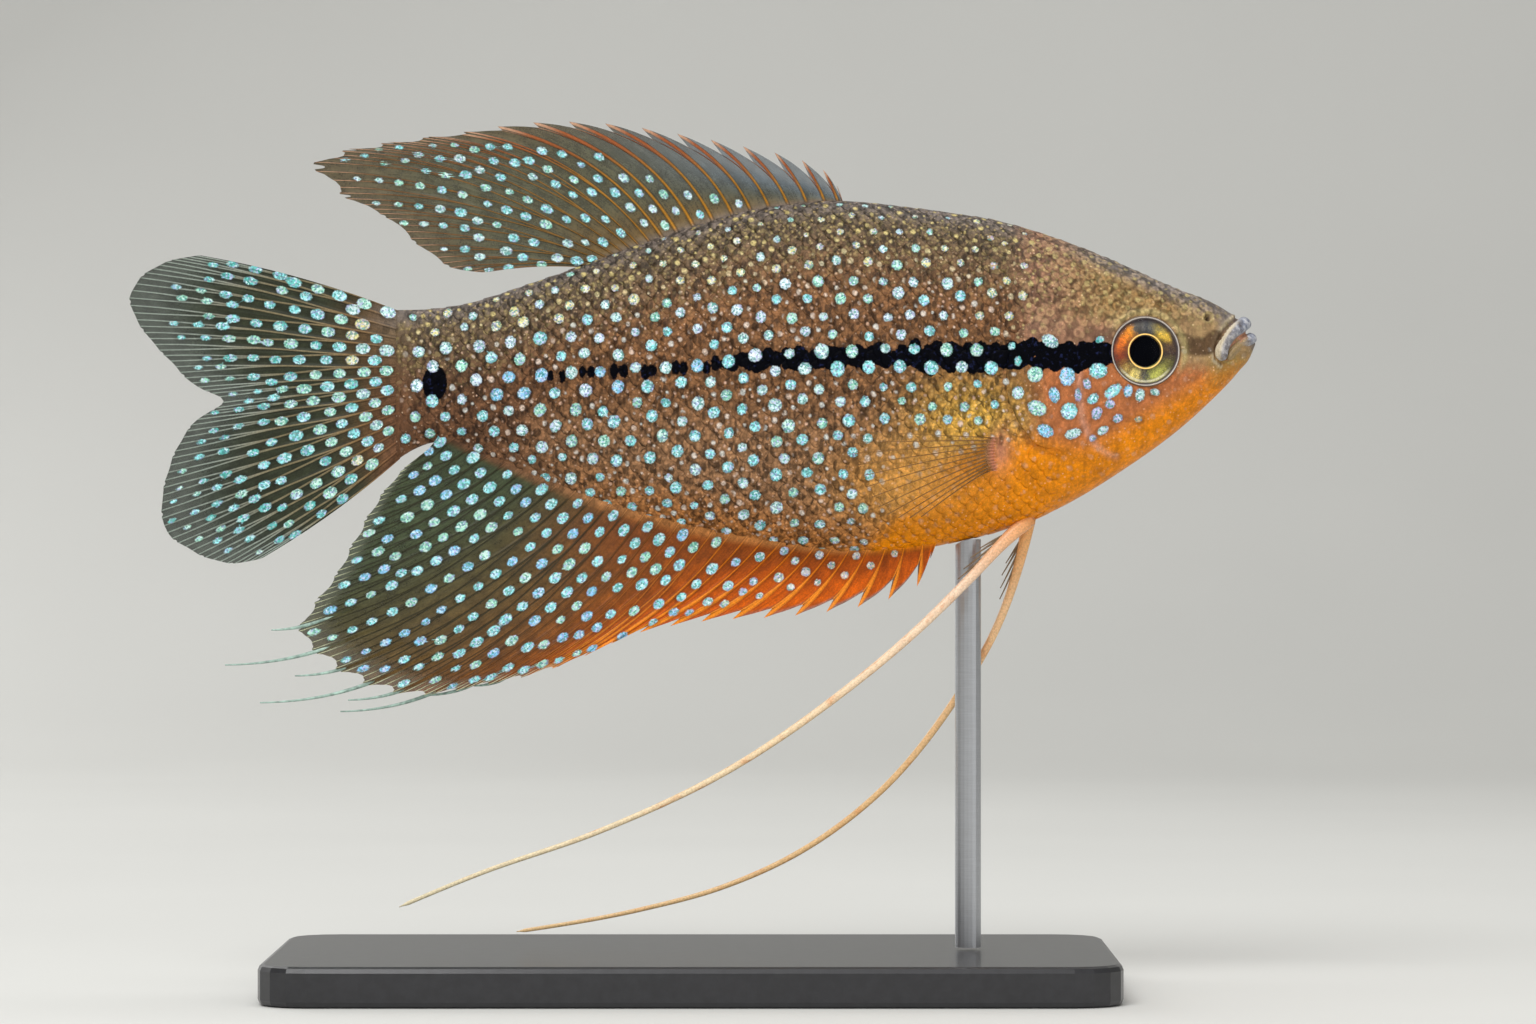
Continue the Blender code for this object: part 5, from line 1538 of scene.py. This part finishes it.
def make_filaments(lines, reaches, solid_reach):
    """The soft rays of the anal fin that trail free behind it, as thin round threads."""
    look = plain_look("filament", srgb(150, 176, 164), 0.4, 1.6, 0.45, 0.03)
    steps = 30
    grids = []
    for ray, length in FILAMENTS.items():
        column = ray * len(GAP_STEPS)
        solid = np.linspace(0.8, 1.0, 10)[:-1] * solid_reach[column]
        path = [point_at(lines[column], reaches[column], distance) for distance in solid]
        ahead = unit(path[-1] - path[-2])
        for k in range(steps):
            path.append(path[-1] + trailing(ahead, (k / (steps - 1)) ** 0.8) * length / steps)
        x, z = np.array(path).T
        radii = np.interp(np.linspace(0, 1, len(path)), (0.0, 0.3, 1.0), (0.13, 0.2, 0.07))
        grids.append(tube(np.stack([x, 0.12 * np.sin(x / 2.5), z], axis=1), radii, 8, ACROSS))
    made = piece("anal_fin_filaments", *joined_tubes(grids), look, "anal_fin")
    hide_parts("anal_fin")


def make_tail(look):
    rng = np.random.default_rng(63)
    top, bottom = size_at(BACK_LINE, TAIL_END), size_at(BELLY_LINE, TAIL_END)

    def root(f):
        z = top - 0.12 + (bottom - top + 0.24) * f
        return np.stack([np.full(len(z), TAIL_END + 0.3), z], axis=-1)

    def tint(f, share):
        membrane = blend_tones(
            tone_for(f, 48, 52, 36), (srgb(100, 72, 42), 1 - soft_step(share, 0.0, 0.34)),
            (srgb(74, 82, 74), 0.85 * soft_step(share, 0.6, 0.95)),
        )
        rays = blend_tones(
            tone_for(f, 134, 122, 92), (srgb(146, 112, 70), 1 - soft_step(share, 0.1, 0.4)),
            (srgb(150, 160, 150), soft_step(share, 0.5, 0.85)),
        )
        return membrane, rays, 0.06 + 0.22 * soft_step(share, 0.7, 0.95), 0.12 - 0.05 * share

    def size(_, share):
        half_length = 0.68 - 0.2 * float(soft_step(share, 0.6, 1.0))
        return half_length, 0.5 - 0.24 * float(soft_step(share, 0.3, 0.95))

    def colours(_, share):
        names = ("gold", "mint", "pale", "cyan") if share < 0.22 else ("cyan", "cyan", "teal", "mint")
        return pick(rng, *names)

    make_fin("tail_fin_membrane", look, "fin", "tail_fin", {
        "root": root, "tint": tint, "dips": TAIL_DIPS, "rows": 72, "sheath": (1.75, 7.0, 0.2, 5.0),
        "edge": lambda f: along(TAIL_EDGE, f), "bulge": lambda f: 0.05 * (2 * f - 1),
        "extra": [TAIL_POINT] * TAIL_RAYS, "sway": lambda x, reach: 0.0022 * reach**2,
        "branching": np.ones_like,
        "spots": gap_spots(1.2, 2.45, size, colours, rng, 0.58, TAIL_SPOT_LIMIT, 1.22),
    })


def make_pectorals(look):
    """The clear side fins, each from a fleshy pad and spread away from the body."""
    places = ray_places(PECTORAL_RAYS)
    fractions = places / (PECTORAL_RAYS - 1)
    roots, ends = along(PECTORAL_ROOT, fractions), along(PECTORAL_EDGE, fractions)
    surface = body_yz(roots[:, 0], FLANK.turn_of_height(roots[:, 0], roots[:, 1]))[0]
    up = np.linspace(0, 1, PECTORAL_ROWS)[:, None]
    share = np.broadcast_to(up[:, 0], (len(places), PECTORAL_ROWS))
    middle = np.sin(math.pi * fractions)[:, None]
    fleshy = 1 - soft_step(share, 0.03 + 0.06 * middle, 0.15 + 0.09 * middle)
    for side, word in SIDES:
        lines = []
        for k, place in enumerate(places):
            off = abs(place - round(place))
            start = np.array([roots[k, 0] + 0.5, side * (surface[k] - 0.15), roots[k, 1]])
            tip = roots[k] + (ends[k] - roots[k]) * (1 - 0.04 * min(1.0, 4 * off))
            end = np.array([tip[0], side * (surface[k] + PECTORAL_FLARE), tip[1]])
            lines.append(bent(start, start + np.array([-1.1, side * 1.65, 0.0]), end, up))
        lines = np.array(lines)
        flat = unit(np.gradient(lines, axis=1) * (1.0, 1.0, 0.0))
        normal = np.stack([-flat[..., 1], flat[..., 0], flat[..., 2]], axis=-1)
        width = np.linalg.norm(np.gradient(lines, places, axis=0), axis=-1)
        grid = places[:, None] * np.ones_like(share)
        ridge = ridge_height(grid, share, width, np.zeros_like(share), 0.08)
        half = 0.045 + ridge * (0.08 * (1 - 0.6 * share) + 0.1 * fleshy) + 0.32 * (1 - share) ** 9
        flesh, none = fleshy.ravel(), np.zeros(share.size)
        made = blade(
            "pectoral_membrane_" + word, lines, normal, half, look, "pectoral_fin",
            np.stack([grid, 14 * share, share], axis=-1),
            {
                "flesh": flesh, "body": none, "gap": width, "fork": none,
                "ray_half": none + PECTORAL_RAY_HALF, "clear": none + PECTORAL_CLEAR,
            },
            {
                "tint": blend_tones(tone_for(flesh, 226, 184, 116), (srgb(206, 138, 108), flesh)),
                "ray_tint": blend_tones(tone_for(flesh, 104, 62, 28), (srgb(200, 134, 104), flesh)),
            },
        )
        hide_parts("pectoral_fin_" + word)


def tube(path, radii, sides, aside, flat=1.0):
    """Rings of points of a tube along a path. flat squeezes it sideways."""
    path = np.asarray(path, float)
    tangents = unit(np.gradient(path, axis=0))
    beside = unit(np.cross(tangents, aside))
    over = np.cross(tangents, beside)
    turn = (np.arange(sides) * 2 * math.pi / sides)[None, :, None]
    radii = np.asarray(radii, float)[:, None, None]
    return path[:, None, :] + radii * (
        np.cos(turn) * beside[:, None, :] + flat * np.sin(turn) * over[:, None, :]
    )


def make_threads(look):
    """The pelvic fins: one long ray each, with short side rays at its root."""
    f = np.linspace(0, 1, 240)
    for side, word in SIDES:
        path = along(np.array(PELVIC_THREADS[word]) * (1.0, side, 1.0), f)
        path[0] = path[0] + unit(path[0] - path[1]) * 0.9
        thick, thin = THREAD_RADII[word]
        radii = thick + (thin - thick) * f**0.7 + 0.2 * np.clip(1 - f / ROOT_SHARE, 0, 1) ** 2
        radii = radii * (1 - soft_step(f, 0.985, 1.0) * 0.8)
        grids = [tube(path, radii, 14, ACROSS, 0.8)]
        for number, (share, aside) in enumerate(SIDE_RAYS):
            at = ROOT_SHARE * np.linspace(0.1 + 0.03 * number, share, 24)
            line = np.stack([np.interp(at, f, column) for column in path.T], axis=1)
            ahead = unit(np.gradient(line, axis=0))
            off = aside * np.linspace(0, 1, 24) ** 0.9
            line[:, 0] += ahead[:, 2] * off
            line[:, 2] -= ahead[:, 0] * off
            grids.append(tube(line, np.linspace(0.17, 0.05, 24), 8, ACROSS))
        made = piece("pelvic_ray_" + word, *joined_tubes(grids), look, "pelvic_thread")
        # The side rays have no way along the long ray, so that their look is their own.
        down = np.full(len(made.data.vertices), -1.0)
        down[:14 * len(f)] = np.repeat(f, 14)
        add_numbers(made.data, down=down, warm=np.full(len(down), THREAD_WARMTH[word]))
        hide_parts("pelvic_fin_" + word, *["pelvic_thread_" + word + "_" + str(k) for k in (1, 2, 3)])


def thread_look():
    look = Look("pelvic_thread")
    down = look.number("down")
    stops = ((0.0, 236, 166, 104), (0.12, 246, 214, 184), (0.45, 242, 214, 172), (1.0, 226, 214, 178))
    tone = look.mix(look.number("warm"), look.ramp(down, stops), srgb(226, 168, 88))
    streak = look.noise(1.0, 3.0, 0.6, look.stretched(look.place, (0.5, 3.5, 0.5)))
    grain = look.noise(5.0, 3.0, 0.6)
    tone = look.mix(look.times(look.between(streak, 0.52, 0.74), 0.6), tone, srgb(222, 146, 84))
    tone = look.mix(look.between(down, -0.6, -0.1, 1.0, 0.0), tone, srgb(120, 98, 70))
    return look.finish(
        Base_Color=look.varied(tone, grain, 0.8, 1.18), Roughness=0.38,
        Normal=look.bump(look.add(grain, streak), 0.05), Specular_IOR_Level=0.45, Coat_Weight=0.15,
    )


# Lips and eyes.


def make_lips(look):
    for node, half, thin, thick, warmth, paleness in (
        ("upper_lip", UPPER_LIP, 0.5, 0.04, 0.25, 1.0), ("lower_lip", LOWER_LIP, 0.34, 0.12, 0.9, 0.0),
    ):
        whole = [(x, -y, z) for x, y, z in half[:0:-1]] + list(half)
        f = np.linspace(0, 1, 110)
        path = along(whole, f)
        away = np.abs(2 * f - 1)
        radii = thin + thick * (1 - away) ** 1.1
        radii = radii * np.sqrt(np.clip(1 - ((away - 0.88) / 0.13).clip(0, 1) ** 2, 0.02, 1))
        radii = radii * (1 + 0.05 * np.sin(9 * away) * away)
        grid = tube(path, radii, 28, (-0.7, 0.0, 0.7), 1.28)
        off = unit(grid - path[:, None, :])
        # A furrow along the lip's outer face.
        outward = np.sign(path[:, 1:2]) * off[..., 1]
        grid = grid - off * (0.13 * bell(outward - 0.62, 0.17) * away[:, None])[..., None]
        made = piece(node + "_skin", *joined_tubes([grid]), look, "lip")
        warm = soft_step(away, 0.12, 0.6)[:, None] * warmth * np.ones_like(outward)
        rear = -0.8 * off[..., 0] + 0.5 * outward + 0.35 * off[..., 2]
        pale = soft_step(rear, 0.5, 0.8) * soft_step(away, 0.1, 0.4)[:, None] * paleness
        add_numbers(made.data, warm=warm, pale=pale)
        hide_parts(node)


def turned(name, profile, sides, centre, axis, look):
    """A round piece of an eye: profile is (radius, height) pairs about its axis."""
    ahead = np.array([1.0, 0.0, 0.0])
    ahead = unit(ahead - axis * np.dot(ahead, axis))
    up = np.cross(axis, ahead)
    if up[2] < 0:
        up = -up
    turn = np.arange(sides) * 2 * math.pi / sides
    around = np.outer(np.cos(turn), ahead) + np.outer(np.sin(turn), up)
    radii, heights = np.array(profile).T
    grid = centre + radii[:, None, None] * around + heights[:, None, None] * axis
    flip = np.dot(np.cross(ahead, up), axis) < 0
    faces = grid_faces(len(radii), sides, closed=True, turned=not flip).tolist()
    made = piece(name, grid.reshape(-1, 3), faces, look, "eye")
    ring = np.tile(np.stack([np.cos(turn), np.sin(turn)], axis=1), (len(radii), 1))
    add_vector(made.data, "polar", np.column_stack([ring, np.repeat(radii, sides)]))
    return made


def iris_look():
    look = Look("iris")
    polar = look.vector("polar")
    ahead, up, radius = look.parts(polar)
    turn = look.math("FRACT", look.times(look.math("ARCTAN2", up, ahead), 1 / (2 * math.pi)))
    wander = look.centred(look.noise(1.1, 3.0), 0.12)
    wander = look.add(wander, look.centred(look.noise(7.0, 3.0, 0.7), 0.07))
    around = look.ramp(look.add(turn, wander), (
        (0.0, 52, 34, 26), (0.05, 84, 62, 28), (0.11, 206, 168, 52), (0.17, 112, 100, 56),
        (0.23, 58, 60, 64), (0.31, 78, 72, 62), (0.35, 190, 120, 22), (0.44, 182, 90, 8),
        (0.53, 100, 32, 4), (0.61, 106, 76, 28), (0.68, 206, 186, 104), (0.75, 44, 42, 50),
        (0.81, 166, 166, 76), (0.9, 92, 88, 38), (1.0, 52, 34, 26),
    ))
    grain = look.noise(11.0, 3.0, 0.65)
    streaks = look.noise(1.0, 3.0, 0.6, look.stretched(polar, (7.0, 7.0, 0.8)))
    colour = look.varied(around, grain, 0.7, 2.0, 0.3, 0.7)
    colour = look.varied(colour, streaks, 0.65, 1.4, 0.3, 0.7)
    colour = look.varied(colour, look.add(radius, look.times(wander, 4.0)), 0.36, 1.12, 1.8, 2.4)
    shadow = look.between(look.add(radius, look.centred(grain, 0.3)), 2.7, 3.1)
    high = look.add(0.35, look.times(look.between(up, -0.1, 0.4), 0.5))
    colour = look.mix(look.times(shadow, high), colour, srgb(40, 30, 36))
    rim = look.between(look.absolute(look.add(radius, -2.98)), 0.0, 0.2, 1.0, 0.0)
    low = look.times(look.between(up, -0.45, -0.85), look.between(grain, 0.35, 0.55, 0.4, 1.0))
    colour = look.mix(look.times(rim, low), colour, srgb(236, 228, 190))
    ring = look.between(look.absolute(look.add(radius, -1.7)), 0.03, 0.1, 1.0, 0.0)
    colour = look.mix(ring, colour, look.varied(srgb(255, 208, 118), grain, 1.0, 1.4, 0.3, 0.7))
    return look.finish(
        Base_Color=colour, Roughness=0.5, Normal=look.bump(look.add(grain, streaks), 0.04),
        Specular_IOR_Level=0.5,
    )


def rim_look():
    look = Look("eye_rim")
    _, _, radius = look.parts(look.vector("polar"))
    across = look.add(look.add(radius, look.centred(look.noise(3.0), 0.06)), -3.1)
    tone = look.ramp(look.times(across, 1.54), (
        (0.0, 50, 40, 42), (0.3, 88, 76, 76), (0.43, 212, 206, 196), (0.5, 150, 138, 126),
        (0.57, 96, 72, 52), (1.0, 140, 112, 78),
    ))
    grain = look.noise(9.0, 2.0, 0.6)
    tone = look.varied(tone, grain, 0.75, 1.2)
    return look.finish(Base_Color=tone, Roughness=0.34, Normal=look.bump(grain, 0.03), Coat_Weight=0.3)


def plain_look(name, colour, roughness, grain_scale, grain, bump, **more):
    """One colour with a fine grain, which varies it by a share and stands out by bump millimetres."""
    look = Look(name)
    noise = look.noise(grain_scale, 3.0, 0.6)
    tone = look.varied(colour, noise, 1 - grain, 1 + grain)
    return look.finish(Base_Color=tone, Roughness=roughness, Normal=look.bump(noise, bump), **more)


def cornea_look():
    """Clear, with a faint gloss."""
    look = Look("cornea")
    clear, gloss = look.node("BsdfTransparent"), look.node("BsdfGlossy")
    gloss.inputs["Roughness"].default_value = 0.04
    fresnel = look.node("Fresnel")
    fresnel.inputs["IOR"].default_value = 1.24
    share = look.times(fresnel.outputs[0], 0.3)
    both = look.node("MixShader", share, clear.outputs[0], gloss.outputs[0])
    output = next(node for node in look.tree.nodes if node.type == "OUTPUT_MATERIAL")
    look.put(both.outputs[0], output.inputs["Surface"])
    look.tree.nodes.remove(look.shader)
    return look.material


def make_eyes():
    """Both eyes: rim, iris, pupil and cornea, each a piece of its own."""
    iris = [(3.2, -0.2)]
    iris += [(r, -0.2 + 0.16 * math.sin(math.pi * (3.2 - r) / 3.4)) for r in np.linspace(3.1, 1.85, 12)]
    angles = np.linspace(0, math.pi / 2 - 0.01, 20)
    dome = [(3.24 * math.cos(angle), -0.12 + 0.62 * math.sin(angle)) for angle in angles]
    black = plain_look("pupil", srgb(3, 4, 8), 0.7, 3.0, 0.3, 0.01, Specular_IOR_Level=0.02)
    parts = (
        ("eye_rim_", EYE_RIM, 96, rim_look()), ("iris_", (*iris, *IRIS_EDGE), 96, iris_look()),
        ("pupil_", PUPIL, 64, black), ("cornea_", dome, 72, cornea_look()),
    )
    turn = float(FLANK.turn_of_height(*EYE))
    y = float(body_yz(EYE[0], turn)[0])
    v = FLANK.v_of(np.array([EYE[0]]), np.array([turn]))
    for side, word in SIDES:
        _, normal = FLANK.place(np.array([EYE[0]]), v, side)
        axis = unit(normal[0] * EYE_TURN)
        centre = np.array([EYE[0], side * y, EYE[1]])
        for name, profile, sides, look in parts:
            made = turned(name + word, profile, sides, centre, axis, look)
            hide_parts("eye_" + word)


# Stand, stage, light, camera.


def dress_stand():
    """Looks for the stand, which shows as its own solids."""
    base_look = plain_look(
        "stand_base", srgb(38, 38, 41), 0.42, 0.9, 0.18, 0.01, Coat_Weight=0.25, Coat_Roughness=0.12
    )
    look = Look("stand_rod")
    brushed = look.noise(1.0, 3.0, 0.6, look.stretched(look.place, (0.6, 0.6, 14.0)))
    rod_look = look.finish(
        Base_Color=look.varied(srgb(196, 198, 202), brushed, 0.92, 1.05), Metallic=1.0,
        Roughness=look.between(brushed, 0.25, 0.75, 0.34, 0.42), Normal=look.bump(brushed, 0.002),
    )
    for name, made in (("stand_base", base_look), ("stand_rod", rod_look)):
        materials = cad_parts[name].data.materials
        materials.clear()
        materials.append(made)


# The floor in millimetres: half its width, the start and radius of its bend, its front, the wall's top.
FLOOR_HALF, FLOOR_BEND, BEND_RADIUS, FLOOR_FRONT, WALL_TOP = 2000.0, 500.0, 300.0, -1600.0, 1600.0


def make_stage():
    """A floor that bends up into a wall behind the model."""
    look = Look("floor")
    tone = look.varied(srgb(214, 214, 210), look.noise(0.004, 3.0, 0.6), 0.97, 1.02, 0.3, 0.7)
    look.finish(Base_Color=tone, Roughness=0.85)
    profile = [(FLOOR_FRONT, 0.0), (FLOOR_BEND, 0.0)]
    for angle in np.linspace(0.1, math.pi / 2, 16):
        y, z = FLOOR_BEND + BEND_RADIUS * math.sin(angle), BEND_RADIUS * (1 - math.cos(angle))
        profile.append((y, z))
    profile.append((FLOOR_BEND + BEND_RADIUS, WALL_TOP))
    points = [(x, y, z) for y, z in profile for x in (-FLOOR_HALF, FLOOR_HALF)]
    faces = [(2 * k, 2 * k + 1, 2 * k + 3, 2 * k + 2) for k in range(len(profile) - 1)]
    mesh = bpy.data.meshes.new("floor")
    mesh.from_pydata((np.array(points) * MM).tolist(), [], faces)
    mesh.shade_smooth()
    mesh.materials.append(look.material)
    floor = bpy.data.objects.new("floor", mesh)
    bpy.context.scene.collection.objects.link(floor)


# The lamps, in metres and watts: name, place, size and power.
LAMPS = (
    ("key", (-0.2, -0.5, 0.62), 0.36, 3.8),
    ("fill", (0.6, -0.6, 0.25), 0.6, 0.9),
    ("top", (0.05, 0.1, 0.7), 0.5, 2.2),
    ("back", (-0.4, 0.5, 0.3), 0.4, 1.3),
    ("low", (0.05, -0.8, 0.13), 0.24, 1.4),
)
LAMP_TARGET = (0.0, 0.0, 0.055)


def aim(thing, target):
    """Turn a lamp so that it shines at a target."""
    away = np.array(thing.location) - np.array(target)
    flat = math.hypot(away[0], away[1])
    thing.rotation_euler = (math.atan2(flat, away[2]), 0.0, math.atan2(away[0], -away[1]))


def make_lights():
    for name, where, size, power in LAMPS:
        data = bpy.data.lights.new(name, "AREA")
        data.shape = "SQUARE"
        data.size = size
        data.energy = power
        lamp = bpy.data.objects.new(name, data)
        lamp.location = where
        # The low lamp only lifts the shadows; it leaves no highlight of its own on the eyes.
        lamp.visible_glossy = name != "low"
        aim(lamp, LAMP_TARGET)
        bpy.context.scene.collection.objects.link(lamp)
    world = bpy.data.worlds.new("soft_room")
    world.use_nodes = True
    colour, strength = world.node_tree.nodes["Background"].inputs[:2]
    colour.default_value = (1.0, 0.98, 0.95, 1.0)
    strength.default_value = 0.22
    bpy.context.scene.world = world
    # Plain display colours, so that the paint's own colours show as they are.
    bpy.context.scene.view_settings.view_transform = "Standard"


# The camera, in metres: its place, and the width that it sees at the model.
CAMERA_PLACE = (0.0075, -0.6, 0.0478)
CAMERA_VIEW = 0.1536
SENSOR_MM = 36.0


def make_camera():
    data = bpy.data.cameras.new("camera")
    camera = bpy.data.objects.new("camera", data)
    camera.location = CAMERA_PLACE
    camera.rotation_euler = (math.pi / 2, 0.0, 0.0)
    data.sensor_width = SENSOR_MM
    data.lens = SENSOR_MM * -CAMERA_PLACE[1] / CAMERA_VIEW
    data.clip_start = 0.01
    data.clip_end = 20.0
    bpy.context.scene.collection.objects.link(camera)
    bpy.context.scene.camera = camera


def main():
    make_skin(fish_skin("fish_skin", False))
    make_scales(fish_skin("fish_scales", True))
    make_lips(lip_look())
    make_eyes()
    make_dorsal(fin_look("dorsal_fin", 0.92))
    make_anal(fin_look("anal_fin", 0.8))
    make_tail(fin_look("tail_fin", 0.75))
    make_pectorals(fin_look("pectoral_fin", 0.8, spots=False))
    make_threads(thread_look())
    dress_stand()
    make_stage()
    make_lights()
    make_camera()


main()
